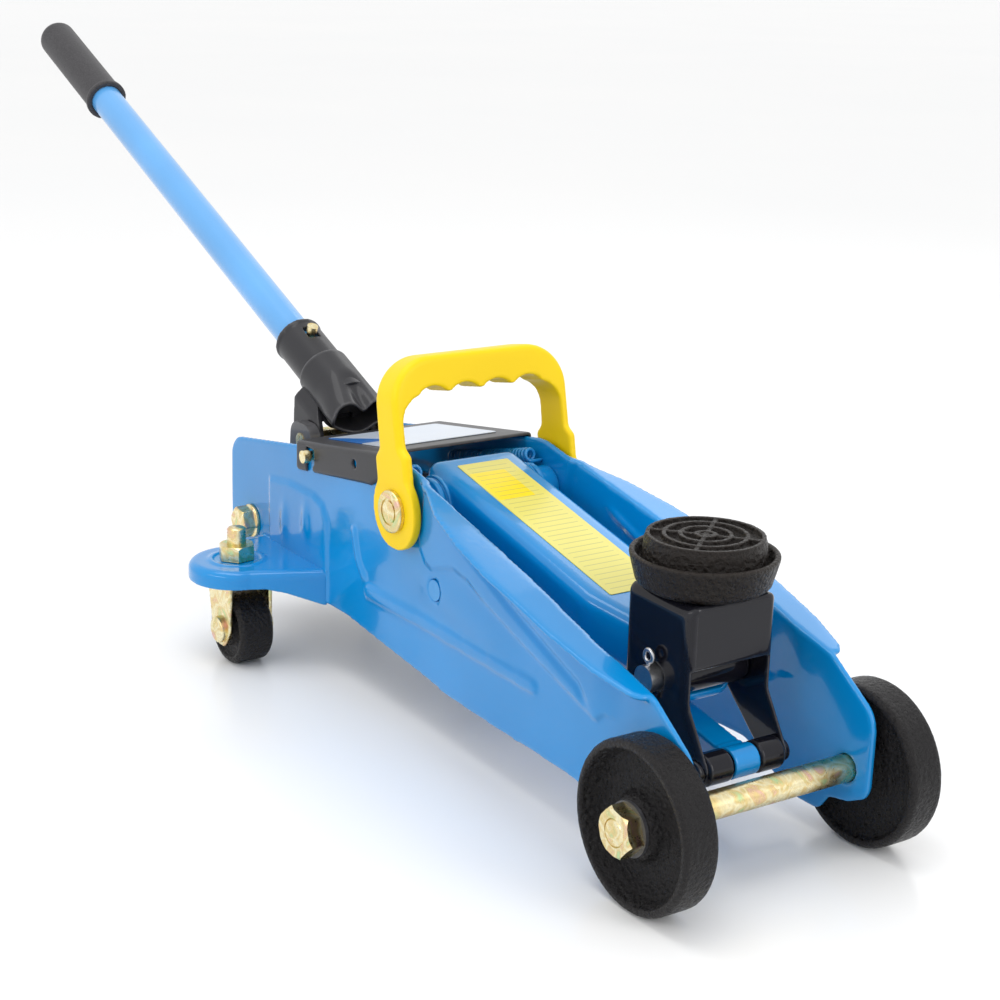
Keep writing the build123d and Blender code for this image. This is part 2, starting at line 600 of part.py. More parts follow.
def pump_plunger():
    rod = cyl("z", PLUNGER_R, 62, PLUNGER_TOP - 3, PLUNGER_X, 0)
    cap = cyl("z", 9.0, PLUNGER_TOP - 3, PLUNGER_TOP, PLUNGER_X, 0)
    return rod + fillet(cap.edges().sort_by(Axis.Z)[-1], 0.8)


def coil(wire, radius, turns, length):
    pitch = length / turns
    path = Helix(pitch, length, radius)
    section = Plane(origin=path @ 0, z_dir=path % 0) * Circle(wire)
    return sweep(section, path=path, is_frenet=True)


def plunger_spring():
    z0, z1 = BARREL_Z[1] + 0.2, PLUNGER_TOP - 3.2
    wire = 0.35
    return Pos(PLUNGER_X, 0, z0 + wire) * coil(wire, 7.7, 2.5, z1 - z0 - 2 * wire)


def return_spring():
    """Left return spring, with a straight end at each side hooked into the side plate."""
    (x0, z0), (x1, z1) = SPRING_ENDS
    wire, radius = 0.9, 3.0
    turn = math.degrees(math.atan2(x1 - x0, z1 - z0))
    spring = Pos(x0, SPRING_Y, z0) * Rot(0, turn, 0) * coil(wire, radius, 26, math.hypot(x1 - x0, z1 - z0))
    side_x = radius * math.cos(math.radians(turn))
    side_z = -radius * math.sin(math.radians(turn))
    for x, z in SPRING_ENDS:
        spring += cyl("y", wire, SPRING_Y, REAR_Y - SHEET, x + side_x, z + side_z)
    return spring


def release_valve():
    """Valve spindle in the back of the block, with the forked knuckle that turns it."""
    spindle = cyl("x", 6.0 - RUN_GAP, BLOCK_X0 + 2, BLOCK_X0 + 13, 0, VALVE_Z)
    neck = cyl("x", 4.0, BLOCK_X0 - 9, BLOCK_X0 + 3, 0, VALVE_Z)
    fork = Pos(BLOCK_X0 - 13, 0, VALVE_Z) * (Box(10, 12, 12) - Pos(-3, 0, 0) * Box(8, 5, 20))
    return spindle + neck + fork


def lever_yoke():
    """Two cheeks on the pivot pin, joined by the collar that carries the handle socket."""
    s0, s1 = 24.0, 52.0
    collar = handle_cyl(17.0, s0, s1) - handle_cyl(SOCKET_R + RUN_GAP, s0 - 30, s1 + 30)
    a = along_handle(s0, -9)
    b = along_handle(s0, 8)
    c = along_handle(s1, 8)
    d = along_handle(s1, -12)
    outline = [(LEVER_PIVOT[0] + 10, LEVER_PIVOT[1] - 8), a, b, c, d,
               (PLUNGER_X - 6, LEVER_PIVOT[1] - 8)]
    cheek = profile_y(outline, 14.6, 18.0, [5, 2, 3, 3, 3, 4])
    yoke = collar + cheek + mirrored(cheek)
    return yoke - cyl("y", 4.5, -30, 30, *LEVER_PIVOT) - cyl("y", 3.0, -30, 30, PLUNGER_X, ROLLER_Z)


def lever_pin():
    """Pivot pin of the lever, fixed in the block's lugs."""
    return cyl("y", 4.5 - RUN_GAP, -25.5, 25.5, *LEVER_PIVOT)


def pump_roller():
    axle = cyl("y", 3.0, -18.6, 18.6, PLUNGER_X, ROLLER_Z)
    return axle + cyl("y", 5.0, -8, 8, PLUNGER_X, ROLLER_Z)


def handle_socket():
    """Socket tube: slotted for the locking screw, and notched at its flattened foot."""
    s0, s1 = SOCKET_S
    tube = handle_cyl(SOCKET_R, s0, s1) - handle_cyl(TUBE_R + RUN_GAP, TUBE_S[0], s1 + 5)
    tube -= handle_cyl(6.0, s0 - 1, TUBE_S[0] + 1)
    lip = handle_cyl(SOCKET_R + 0.7, s1 - 2.2, s1) - handle_cyl(TUBE_R + RUN_GAP, s0, s1 + 5)
    slot_x, slot_z = along_handle(76, 12)
    slot = Pos(slot_x, 0, slot_z) * Rot(0, HANDLE_DEG, 0) * Box(10, 7, 8)
    foot_x, foot_z = along_handle(s0, -SOCKET_R)
    notch = Pos(foot_x, 0, foot_z) * Rot(0, HANDLE_DEG, 0) * Box(16, 9, 12)
    return tube + lip - slot - notch


def socket_screw():
    x, z = along_handle(76, 11.45)
    screw = Pos(x, 0, z) * Rot(0, HANDLE_DEG, 0) * (Cylinder(2.6, 2.8) + Pos(0, 0, 3.2) * Cylinder(3.0, 3.8))
    return screw


def handle_tube():
    s0, s1 = TUBE_S
    return handle_cyl(TUBE_R, s0, s1) - handle_cyl(TUBE_R - 1.8, s0 - 1, s1 - 2)


def handle_grip():
    """Moulded grip: a lip ring at its mouth, ribs along it and a domed end."""
    s0, s1 = GRIP_S
    body = handle_cyl(GRIP_R, s0, s1)
    body = fillet(body.edges().filter_by(lambda e: e.center().X < -740), 6.0)
    body += handle_cyl(GRIP_R + 1.3, s0, s0 + 3.5)
    body -= handle_cyl(TUBE_R + 0.02, s0 - 1, TUBE_S[1] + 0.02)
    return body


def carry_handle():
    """Yellow bail: eyes on the shaft bolts, stepped legs and a scalloped grip bar."""
    outer, inner = BAIL_Y, BAIL_Y - BAIL_T
    arch = [(-outer, -22), (-outer, BAIL_TOP), (outer, BAIL_TOP), (outer, -22)]
    hole = [(-inner, -30), (-inner, BAIL_TOP - 18), (inner, BAIL_TOP - 18), (inner, -30)]
    plane = Plane(origin=(20, 0, 0), x_dir=(0, 1, 0), z_dir=(1, 0, 0))
    arch_face = make_face(FilletPolyline(*arch, radius=[0, 22, 22, 0], close=True))
    hole_face = make_face(FilletPolyline(*hole, radius=[0, 13, 13, 0], close=True))
    frame = extrude(plane * (arch_face - hole_face), -40)
    leg = Plane(origin=(0, 60, 0), x_dir=(1, 0, 0), z_dir=(0, -1, 0))
    upright = make_face(FilletPolyline((-14.5, 0), (-14.5, 26), (-10, 30), (-9, BAIL_TOP + 1),
                                       (9, BAIL_TOP + 1), (10, 30), (14.5, 26), (14.5, 0),
                                       radius=[0, 2, 2, 0, 0, 2, 2, 0], close=True))
    eye = Circle(19.0)
    side = extrude(leg * (upright + eye), 120)
    bail = frame & side
    for i in range(4):
        y = -27 + 18 * i
        bail -= cyl("x", 11.0, -15, 15, y, BAIL_TOP - 18 - 7.6)
    bail -= cyl("y", 5.0 + RUN_GAP, -60, 60, 0, 0)
    top_edges = bail.edges().filter_by(lambda e: e.center().Z > BAIL_TOP - 1 and abs(e.center().X) > 8)
    bail = fillet(top_edges, 3.0)
    return Pos(PIVOT[0], 0, PIVOT[1]) * Rot(0, -BAIL_LEAN, 0) * bail


def caster_stem():
    """Stem bolt through the left ear, with its head under the yoke's top plate."""
    top = EAR_TOP + 10.5
    rod = cyl("z", STEM_R, EAR_TOP - 12.4, top, STEM_X, STEM_Y)
    rod = chamfer(rod.edges().sort_by(Axis.Z)[-1], 0.8)
    return rod + cyl("z", 8.0, EAR_TOP - 14.4, EAR_TOP - 12.4, STEM_X, STEM_Y)


def caster_nut():
    nut = hexagon("z", 17.0, EAR_TOP + 0.4, EAR_TOP + 8.2, STEM_X, STEM_Y, 20)
    return nut - cyl("z", STEM_R, 30, 80, STEM_X, STEM_Y)


def caster_washer():
    return ring("z", 13.0, STEM_R + 1.0, EAR_TOP - SHEET - 3.0, EAR_TOP - SHEET, STEM_X, STEM_Y)


def caster_yoke():
    """Left caster fork: a top plate under the ear, and two tapering cheeks."""
    top = EAR_TOP - SHEET - 3.0 - 0.1
    half_w = CASTER_W / 2 + 3.0
    plate = cyl("z", 15.0, top - 2.4, top, STEM_X, STEM_Y)
    plate += Pos(CASTER_X - 2, STEM_Y, top - 1.2) * Box(22, 2 * half_w, 2.4)
    cheek = profile_y([(STEM_X - 10, top), (CASTER_X + 11, top), (CASTER_X + 10, CASTER_R),
                       (CASTER_X + 4, CASTER_R - 9), (CASTER_X - 4, CASTER_R - 9), (CASTER_X - 10, CASTER_R)],
                      STEM_Y + half_w - 2.2, STEM_Y + half_w, [2, 2, 6, 5, 5, 6])
    other = Pos(0, -2 * half_w + 2.2, 0) * cheek
    yoke = plate + cheek + other
    yoke -= cyl("z", STEM_R + RUN_GAP, 30, 60, STEM_X, STEM_Y)
    return yoke - cyl("y", 4.0, 0, 120, CASTER_X, CASTER_R)


def caster_wheel():
    """Small iron wheel, dished on both sides."""
    half_w = CASTER_W / 2
    hub = 4.0 + RUN_GAP
    half = [(hub, -half_w), (9, -half_w), (9, -half_w + 1.6), (14.5, -half_w + 1.6), (15.6, -half_w),
            (17.2, -half_w), (CASTER_R, -half_w + 1.7)]
    half += [(r, -y) for r, y in reversed(half)]
    face = make_face(Polyline(*[(r, y, 0) for r, y in half], close=True))
    return Pos(CASTER_X, STEM_Y, CASTER_R) * revolve(face, Axis.Y)


def caster_axle():
    half_w = CASTER_W / 2 + 3.0
    rod = cyl("y", 4.0, STEM_Y - half_w - 3.4, STEM_Y + half_w, CASTER_X, CASTER_R)
    head = cyl("y", 7.0, STEM_Y + half_w, STEM_Y + half_w + 2.8, CASTER_X, CASTER_R)
    tail = cyl("y", 5.6, STEM_Y - half_w - 2.8, STEM_Y - half_w, CASTER_X, CASTER_R)
    return rod + fillet(head.edges().sort_by(Axis.Y)[-1], 1.2) + tail


def left_and_right(nodes, name, shape):
    nodes[name + "_left"] = [shape]
    nodes[name + "_right"] = [mirrored(shape)]


def build():
    """Every node of the jack: its name and its list of solids."""
    nodes = {}
    left_and_right(nodes, "side_plate", side_plate())
    left_and_right(nodes, "caster_ear", caster_ear())
    left_and_right(nodes, "front_wheel", front_wheel())
    left_and_right(nodes, "caster_yoke", caster_yoke())
    left_and_right(nodes, "caster_wheel", caster_wheel())
    left_and_right(nodes, "caster_axle", caster_axle())
    for name, make in (("caster_stems", caster_stem), ("caster_nuts", caster_nut),
                       ("caster_washers", caster_washer), ("return_springs", return_spring)):
        piece = make()
        nodes[name] = [piece, mirrored(piece)]
    for make in (cover_pins, axle_nuts, axle_washers, shaft_collars, bail_bolts,
                 split_pins, tie_bolts, anchor_tubes):
        nodes[make.__name__] = make()
    for make in (top_cover, cover_label, front_axle, arm_shaft, lift_arm, pivot_sleeve, ram_pin,
                 arm_label, saddle_pin, level_link, anchor_pin, saddle_bracket, link_pin, saddle_cup,
                 saddle_ring, saddle_pad, pump_block, pump_barrel, reservoir, ram_cylinder, ram_gland,
                 filler_plug, ram_rod, piston_seal, ram_head, pump_plunger, plunger_spring,
                 release_valve, lever_yoke, lever_pin, pump_roller, handle_socket, socket_screw,
                 handle_tube, handle_grip, carry_handle):
        nodes[make.__name__] = [make()]
    return nodes


def middle_x(nodes):
    boxes = [s.bounding_box() for solids in nodes.values() for s in solids]
    return (min(b.min.X for b in boxes) + max(b.max.X for b in boxes)) / 2


def main():
    nodes = build()
    shift = Pos(-middle_x(nodes), 0, 0)
    os.makedirs("parts", exist_ok=True)
    for name, solids in nodes.items():
        placed = [s for shape in solids for s in (shift * shape).solids()]
        part = placed[0] if len(placed) == 1 else Compound(children=placed)
        export_step(part, f"parts/{name}.step")


if __name__ == "__main__":
    main()
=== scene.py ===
import json
import math
import random

import bmesh
import bpy
import numpy as np
from mathutils import Matrix, Vector, noise


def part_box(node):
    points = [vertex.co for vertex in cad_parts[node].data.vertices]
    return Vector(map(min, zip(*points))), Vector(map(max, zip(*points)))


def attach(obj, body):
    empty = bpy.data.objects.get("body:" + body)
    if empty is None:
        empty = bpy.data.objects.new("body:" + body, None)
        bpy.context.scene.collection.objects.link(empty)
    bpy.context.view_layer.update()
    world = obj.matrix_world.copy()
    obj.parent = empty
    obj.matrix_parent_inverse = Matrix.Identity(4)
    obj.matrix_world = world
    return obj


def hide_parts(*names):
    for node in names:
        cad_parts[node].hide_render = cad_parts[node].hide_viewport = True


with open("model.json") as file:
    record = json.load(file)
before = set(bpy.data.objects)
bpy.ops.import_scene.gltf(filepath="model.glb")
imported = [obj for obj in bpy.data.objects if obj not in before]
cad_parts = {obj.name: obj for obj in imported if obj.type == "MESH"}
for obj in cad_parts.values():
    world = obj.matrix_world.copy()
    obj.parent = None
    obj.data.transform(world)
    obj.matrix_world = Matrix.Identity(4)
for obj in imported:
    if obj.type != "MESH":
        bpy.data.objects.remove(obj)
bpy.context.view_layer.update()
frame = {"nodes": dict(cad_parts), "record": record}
NODES = frame["nodes"]
RECORD = frame["record"]
BODY_OF = {node: body for body, nodes in RECORD["behaviour"]["bodies"].items() for node in nodes}
SLOT_OF = {part["node"]: part["material_slot"] for part in RECORD["subparts"]}

# Lengths below are in millimetres, with x = 0 at the front axle. at() turns them into the frame.
MM = 0.001
AXLE_X = sum(corner[0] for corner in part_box("front_axle")) / 2


def at(x, y, z):
    return Vector((AXLE_X + x * MM, y * MM, z * MM))


# ---------------------------------------------------------------- camera, lights and floor
CAMERA_AZ, CAMERA_EL, CAMERA_ROLL = 56.5, 16.31, 1.35
CAMERA_PLACE = (548.8, -504.1, 374.6)
CAMERA_LENS = 70.37
CAMERA_SHIFT = (0.0189, -0.0036)
WORLD_STRENGTH = 0.98
FLOOR_HALF = 20.0
SOFTBOXES = [  # name, place, target, width and height, power; in metres and watts
    ("top_softbox", (0.05, -0.25, 1.15), (0.0, 0.0, 0.05), (0.9, 0.35), 3.0),
    ("left_softbox", (0.25, -1.25, 0.75), (0.05, 0.0, 0.08), (1.1, 0.14), 2.6),
    ("back_softbox", (-0.5, 1.1, 0.9), (0.0, 0.0, 0.08), (0.8, 0.5), 1.5),
    ("front_softbox", (1.3, 0.35, 0.6), (0.2, 0.0, 0.08), (0.35, 0.7), 3.0),
]


def aim(obj, place, target):
    obj.location = place
    obj.rotation_mode = "QUATERNION"
    obj.rotation_quaternion = (target - place).to_track_quat("-Z", "Y")


def make_camera():
    data = bpy.data.cameras.new("camera")
    data.lens = CAMERA_LENS
    data.sensor_width = 36.0
    data.shift_x, data.shift_y = CAMERA_SHIFT
    data.clip_start, data.clip_end = 0.01, 60.0
    camera = bpy.data.objects.new("camera", data)
    bpy.context.collection.objects.link(camera)
    az, el = math.radians(CAMERA_AZ), math.radians(CAMERA_EL)
    back = Vector((math.sin(az) * math.cos(el), -math.cos(az) * math.cos(el), math.sin(el)))
    place = at(*CAMERA_PLACE)
    aim(camera, place, place - back)
    roll = Matrix.Rotation(math.radians(CAMERA_ROLL), 4, "Z").to_quaternion()
    camera.rotation_quaternion = camera.rotation_quaternion @ roll
    bpy.context.scene.camera = camera


def area_light(name, place, target, size, power):
    data = bpy.data.lights.new(name, "AREA")
    data.shape = "RECTANGLE"
    data.size, data.size_y = size
    data.energy = power
    light = bpy.data.objects.new(name, data)
    bpy.context.collection.objects.link(light)
    aim(light, Vector(place), Vector(target))


def make_studio():
    world = bpy.data.worlds.new("studio")
    bpy.context.scene.world = world
    world.use_nodes = True
    background = world.node_tree.nodes["Background"]
    background.inputs["Color"].default_value = (1.0, 1.0, 1.0, 1.0)
    background.inputs["Strength"].default_value = WORLD_STRENGTH
    bpy.context.scene.view_settings.view_transform = "Standard"
    for softbox in SOFTBOXES:
        area_light(*softbox)

    half = FLOOR_HALF
    corners = [(-half, -half, 0), (half, -half, 0), (half, half, 0), (-half, half, 0)]
    mesh = bpy.data.meshes.new("floor")
    mesh.from_pydata(corners, [], [(0, 1, 2, 3)])
    floor = bpy.data.objects.new("floor", mesh)
    bpy.context.collection.objects.link(floor)
    mat, tree, bsdf = shader("floor_card", {"Roughness": 0.22, "Specular IOR Level": 0.35})
    cloud = noise_value(tree, 1.5, 2)
    link_colour(tree, bsdf, ramp(tree, cloud, [(0.3, (0.93, 0.935, 0.94)), (0.7, (0.95, 0.95, 0.95))]))
    mesh.materials.append(mat)


# ---------------------------------------------------------------- material helpers
def shader(name, sockets):
    mat = bpy.data.materials.new(name)
    mat.use_nodes = True
    tree = mat.node_tree
    bsdf = tree.nodes["Principled BSDF"]
    for key, value in sockets.items():
        bsdf.inputs[key].default_value = value
    return mat, tree, bsdf


def add(tree, kind, **settings):
    node = tree.nodes.new("ShaderNode" + kind)
    for key, value in settings.items():
        setattr(node, key, value)
    return node


def coords(tree, stretch=(1, 1, 1)):
    """Object coordinates in metres, stretched per axis."""
    source = add(tree, "TexCoord").outputs["Object"]
    if stretch == (1, 1, 1):
        return source
    mapping = add(tree, "Mapping")
    mapping.inputs["Scale"].default_value = stretch
    tree.links.new(source, mapping.inputs["Vector"])
    return mapping.outputs["Vector"]


def noise_value(tree, scale, detail=3, roughness=0.5, stretch=(1, 1, 1), distortion=0.0):
    node = add(tree, "TexNoise")
    node.inputs["Scale"].default_value = scale
    node.inputs["Detail"].default_value = detail
    node.inputs["Roughness"].default_value = roughness
    node.inputs["Distortion"].default_value = distortion
    tree.links.new(coords(tree, stretch), node.inputs["Vector"])
    return node.outputs["Fac"]


def ramp(tree, value, stops):
    node = add(tree, "ValToRGB")
    elements = node.color_ramp.elements
    while len(elements) < len(stops):
        elements.new(0.5)
    for element, (place, colour) in zip(elements, stops):
        element.position = place
        element.color = (*colour, 1.0)
    tree.links.new(value, node.inputs["Fac"])
    return node.outputs["Color"]


def spread(tree, value, low, high, start=0.0, end=1.0):
    """value from start..end, mapped on low..high."""
    node = add(tree, "MapRange")
    node.inputs["From Min"].default_value = start
    node.inputs["From Max"].default_value = end
    node.inputs["To Min"].default_value = low
    node.inputs["To Max"].default_value = high
    tree.links.new(value, node.inputs["Value"])
    return node.outputs["Result"]


def blend_colour(tree, factor, first, second):
    node = add(tree, "Mix", data_type="RGBA")
    tree.links.new(factor, node.inputs["Factor"])
    for socket, colour in ((node.inputs["A"], first), (node.inputs["B"], second)):
        if isinstance(colour, tuple):
            socket.default_value = (*colour, 1.0)
        else:
            tree.links.new(colour, socket)
    return node.outputs["Result"]


def combine(tree, operation, first, second):
    node = add(tree, "Math", operation=operation)
    for socket, value in zip(node.inputs, (first, second)):
        if isinstance(value, (int, float)):
            socket.default_value = value
        else:
            tree.links.new(value, socket)
    return node.outputs["Value"]


def link_colour(tree, bsdf, colour):
    tree.links.new(colour, bsdf.inputs["Base Color"])


def link_bump(tree, bsdf, height, strength, distance):
    node = add(tree, "Bump")
    node.inputs["Strength"].default_value = strength
    node.inputs["Distance"].default_value = distance
    tree.links.new(height, node.inputs["Height"])
    tree.links.new(node.outputs["Normal"], bsdf.inputs["Normal"])
    if "Coat Normal" in bsdf.inputs:
        tree.links.new(node.outputs["Normal"], bsdf.inputs["Coat Normal"])


EDGE_RANGE = (0.505, 0.56)      # pointiness where an edge starts, and where it is full


def edges(tree):
    """1 on convex edges and 0 elsewhere."""
    return spread(tree, add(tree, "NewGeometry").outputs["Pointiness"], 0.0, 1.0, *EDGE_RANGE)


def link_roughness(tree, bsdf, roughness):
    tree.links.new(roughness, bsdf.inputs["Roughness"])


# ---------------------------------------------------------------- materials
def paint(name, colour, edge, rough, coat, highlight_strength, mirror=0.5):
    """Sprayed paint: slight tone changes, a painted highlight on convex edges in the lighter edge colour, and
    orange peel.
    """
    sockets = {"Coat Weight": coat, "Coat Roughness": 0.05, "Specular IOR Level": mirror}
    mat, tree, bsdf = shader(name, sockets)
    dark = tuple(c * 0.90 for c in colour)
    light = tuple(min(1.0, c * 1.08) for c in colour)
    base = ramp(tree, noise_value(tree, 9, 3), [(0.35, dark), (0.65, light)])
    # Painted highlight: convex edges are blended towards the lighter edge colour, and noise breaks up its
    # strength.
    highlight_breakup = noise_value(tree, 160, 4, 0.6)
    rim = combine(tree, "MULTIPLY", edges(tree), spread(tree, highlight_breakup, highlight_strength * 0.5, highlight_strength, 0.4, 0.6))
    link_colour(tree, bsdf, blend_colour(tree, rim, base, edge))
    link_roughness(tree, bsdf, spread(tree, noise_value(tree, 40, 4), rough - 0.04, rough + 0.07))
    link_bump(tree, bsdf, noise_value(tree, 420, 2, 0.4), 0.05, 0.0004)
    return mat


GRAIN_SCALE = 560
CAST_ROUGH = 0.36


def cast_iron(name, colour, light):
    """Blackened casting: grains, pits, lighter spots in the grain, and a painted highlight on convex edges.
    """
    sockets = {"Specular IOR Level": 0.22, "Coat Weight": 0.06, "Coat Roughness": 0.25}
    mat, tree, bsdf = shader(name, sockets)
    grain = noise_value(tree, GRAIN_SCALE, 5, 0.65)
    tone = ramp(tree, grain, [(0.38, tuple(c * 0.6 for c in colour)), (0.62, colour), (0.8, light)])
    # Painted highlight: convex edges are blended up to 0.35 of the way towards the lighter colour.
    link_colour(tree, bsdf, blend_colour(tree, spread(tree, edges(tree), 0.0, 0.35), tone, light))
    link_roughness(tree, bsdf, spread(tree, grain, CAST_ROUGH - 0.15, CAST_ROUGH + 0.15, 0.35, 0.65))
    pits = add(tree, "TexVoronoi")
    pits.inputs["Scale"].default_value = GRAIN_SCALE * 0.8
    tree.links.new(coords(tree), pits.inputs["Vector"])
    height = combine(tree, "ADD", grain, combine(tree, "MULTIPLY", pits.outputs["Distance"], 0.5))
    link_bump(tree, bsdf, height, 1.0, 0.0014)
    return mat


def passivated_zinc():
    """Yellow zinc: gold, with pink and green films that drift over it."""
    mat, tree, bsdf = shader("zinc_gold", {"Metallic": 1.0, "Specular IOR Level": 0.5})
    gold, pale = (0.80, 0.62, 0.28), (0.92, 0.84, 0.55)
    pink, green = (0.80, 0.50, 0.42), (0.55, 0.72, 0.38)
    drift = noise_value(tree, 75, 2, 0.5, distortion=1.2)
    film = ramp(tree, drift, [(0.30, green), (0.42, gold), (0.50, pale), (0.58, gold), (0.70, pink)])
    fine = ramp(tree, noise_value(tree, 900, 3), [(0.35, (0.75, 0.75, 0.75)), (0.65, (1.0, 1.0, 1.0))])
    tint = add(tree, "Mix", data_type="RGBA", blend_type="MULTIPLY")
    tint.inputs["Factor"].default_value = 0.5
    tree.links.new(film, tint.inputs["A"])
    tree.links.new(fine, tint.inputs["B"])
    link_colour(tree, bsdf, tint.outputs["Result"])
    link_roughness(tree, bsdf, spread(tree, noise_value(tree, 300, 3), 0.2, 0.38))
    link_bump(tree, bsdf, noise_value(tree, 1500, 2), 0.08, 0.0002)
    return mat


def ground_steel():
    """Bare steel with fine grinding lines."""
    colour = (0.62, 0.62, 0.63)
    mat, tree, bsdf = shader("ground_steel", {"Metallic": 1.0})
    lines = noise_value(tree, 700, 3, 0.6, (1, 1, 8))
    link_colour(tree, bsdf, ramp(tree, lines, [(0.3, tuple(c * 0.8 for c in colour)), (0.7, colour)]))
    link_roughness(tree, bsdf, spread(tree, lines, 0.22, 0.4))
    link_bump(tree, bsdf, lines, 0.08, 0.0002)
    return mat


def plastic(name, colour, shade, rough):
    """Moulded plastic: slow tone changes and a fine grain."""
    mat, tree, bsdf = shader(name, {"Specular IOR Level": 0.3})
    link_colour(tree, bsdf, ramp(tree, noise_value(tree, 12, 3), [(0.35, shade), (0.65, colour)]))
    link_roughness(tree, bsdf, spread(tree, noise_value(tree, 150, 3), rough - 0.05, rough + 0.07))
    link_bump(tree, bsdf, noise_value(tree, 1200, 3), 0.04, 0.0003)
    return mat


def grip_rubber():
    """Dull rubber with a coarse grain."""
    mat, tree, bsdf = shader("grip_rubber", {"Sheen Weight": 0.15, "Specular IOR Level": 0.4})
    grain = noise_value(tree, 900, 4, 0.6)
    tone = ramp(tree, grain, [(0.35, (0.018, 0.017, 0.02)), (0.7, (0.05, 0.047, 0.052))])
    link_colour(tree, bsdf, tone)
    link_roughness(tree, bsdf, spread(tree, grain, 0.5, 0.7))
    link_bump(tree, bsdf, grain, 0.35, 0.0003)
    return mat


# The third argument of each paint() is the colour of its painted edge highlight, and the sixth is that
# highlight's strength.
BLUE = paint("blue_gloss", (0.0, 0.235, 0.60), (0.12, 0.46, 0.80), 0.2, 0.6, 0.15, 0.25)
TUBE_BLUE = paint("tube_blue", (0.10, 0.36, 0.74), (0.30, 0.60, 0.90), 0.3, 0.7, 0.0)
BLACK_GLOSS = paint("black_gloss", (0.006, 0.006, 0.010), (0.10, 0.10, 0.11), 0.16, 0.4, 0.4, 0.12)
BLACK_SATIN = paint("black_satin", (0.022, 0.022, 0.026), (0.14, 0.14, 0.15), 0.42, 0.2, 0.5, 0.3)
GREY_PAINT = paint("grey_paint", (0.05, 0.05, 0.055), (0.14, 0.14, 0.15), 0.4, 0.3, 0.35)
WHEEL_IRON = cast_iron("wheel_iron", (0.009, 0.008, 0.009), (0.035, 0.03, 0.03))
SADDLE_IRON = cast_iron("saddle_iron", (0.014, 0.010, 0.008), (0.05, 0.04, 0.034))
ZINC = passivated_zinc()
STEEL = ground_steel()
YELLOW = plastic("yellow_plastic", (0.92, 0.64, 0.0), (0.88, 0.60, 0.0), 0.42)
SEAL = plastic("seal_rubber", (0.03, 0.03, 0.03), (0.02, 0.02, 0.02), 0.5)
RUBBER = grip_rubber()


# ---------------------------------------------------------------- labels
def axis_value(tree, axis):
    """One object coordinate in millimetres, with x counted from the front axle."""
    split = add(tree, "SeparateXYZ")
    tree.links.new(coords(tree), split.inputs["Vector"])
    value = split.outputs["XYZ".index(axis)]
    if axis == "X":
        value = combine(tree, "SUBTRACT", value, AXLE_X)
    return combine(tree, "DIVIDE", value, MM)


PRINT_SOFT = 0.15       # half-width, in mm, of the edge of a printed field


def inside_band(tree, value, low, high):
    """1 where value lies between low and high, and 0 outside."""
    rise = spread(tree, value, 0.0, 1.0, low - PRINT_SOFT, low + PRINT_SOFT)
    fall = spread(tree, value, 1.0, 0.0, high - PRINT_SOFT, high + PRINT_SOFT)
    return combine(tree, "MULTIPLY", rise, fall)


def cover_film():
    """White film with a plain blue corner and one thin blue line."""
    mat, tree, bsdf = shader("cover_film", {"Roughness": 0.28, "Coat Weight": 0.5, "Coat Roughness": 0.1})
    tone = ramp(tree, noise_value(tree, 14, 2), [(0.35, (0.55, 0.63, 0.76)), (0.65, (0.64, 0.71, 0.81))])
    x, y = axis_value(tree, "X"), axis_value(tree, "Y")
    slant = combine(tree, "SUBTRACT", y, combine(tree, "MULTIPLY", x, 0.5))
    corner = combine(tree, "MULTIPLY", spread(tree, slant, 1.0, 0.0, 121.6, 122.0),
                     inside_band(tree, x, -330, -272))
    blue = blend_colour(tree, corner, tone, (0.01, 0.16, 0.55))
    rule = inside_band(tree, x, -247.6, -246.6)
    rule = combine(tree, "MULTIPLY", rule, 0.55)
    link_colour(tree, bsdf, blend_colour(tree, rule, blue, (0.05, 0.30, 0.70)))
    link_bump(tree, bsdf, noise_value(tree, 260, 2), 0.03, 0.0003)
    return mat


def arm_film():
    """Pale yellow film with a stronger yellow patch and thin plain rules across it."""
    mat, tree, bsdf = shader("arm_film", {"Roughness": 0.4, "Coat Weight": 0.25, "Coat Roughness": 0.2})
    tone = ramp(tree, noise_value(tree, 20, 2), [(0.35, (0.66, 0.60, 0.12)), (0.65, (0.71, 0.65, 0.14))])
    x, y = axis_value(tree, "X"), axis_value(tree, "Y")
    patch = combine(tree, "MULTIPLY", inside_band(tree, x, -203, -176),
                    inside_band(tree, y, -13.6, 6.5))
    tone = blend_colour(tree, patch, tone, (0.86, 0.66, 0.0))
    row_gap = 4.0
    rows = combine(tree, "MODULO", combine(tree, "ADD", x, 150 * row_gap), row_gap)
    rows = combine(tree, "MULTIPLY", spread(tree, rows, 1.0, 0.0, 0.42, 0.55),
                   inside_band(tree, x, -209, -90))
    rows = combine(tree, "MULTIPLY", rows, inside_band(tree, y, -11.5, 11.0))
    rows = combine(tree, "MULTIPLY", rows, 0.6)
    link_colour(tree, bsdf, blend_colour(tree, rows, tone, (0.30, 0.30, 0.12)))
    link_bump(tree, bsdf, noise_value(tree, 300, 2), 0.03, 0.0003)
    return mat


COVER_FILM = cover_film()
ARM_FILM = arm_film()

FINISH = {"blue_paint": BLUE, "black_paint": BLACK_SATIN, "black_cast": WHEEL_IRON, "zinc": ZINC,
          "steel": STEEL, "grey_paint": GREY_PAINT, "tube_paint": TUBE_BLUE, "grip_rubber": RUBBER,
          "yellow_plastic": YELLOW, "label_white": COVER_FILM, "label_yellow": ARM_FILM, "seal": SEAL}
OWN_FINISH = {"axle_washers": BLACK_SATIN, "pivot_sleeve": BLACK_GLOSS, "link_pin": BLACK_GLOSS,
              "split_pins": STEEL, "saddle_pin": STEEL}       # nodes that do not look like their slot


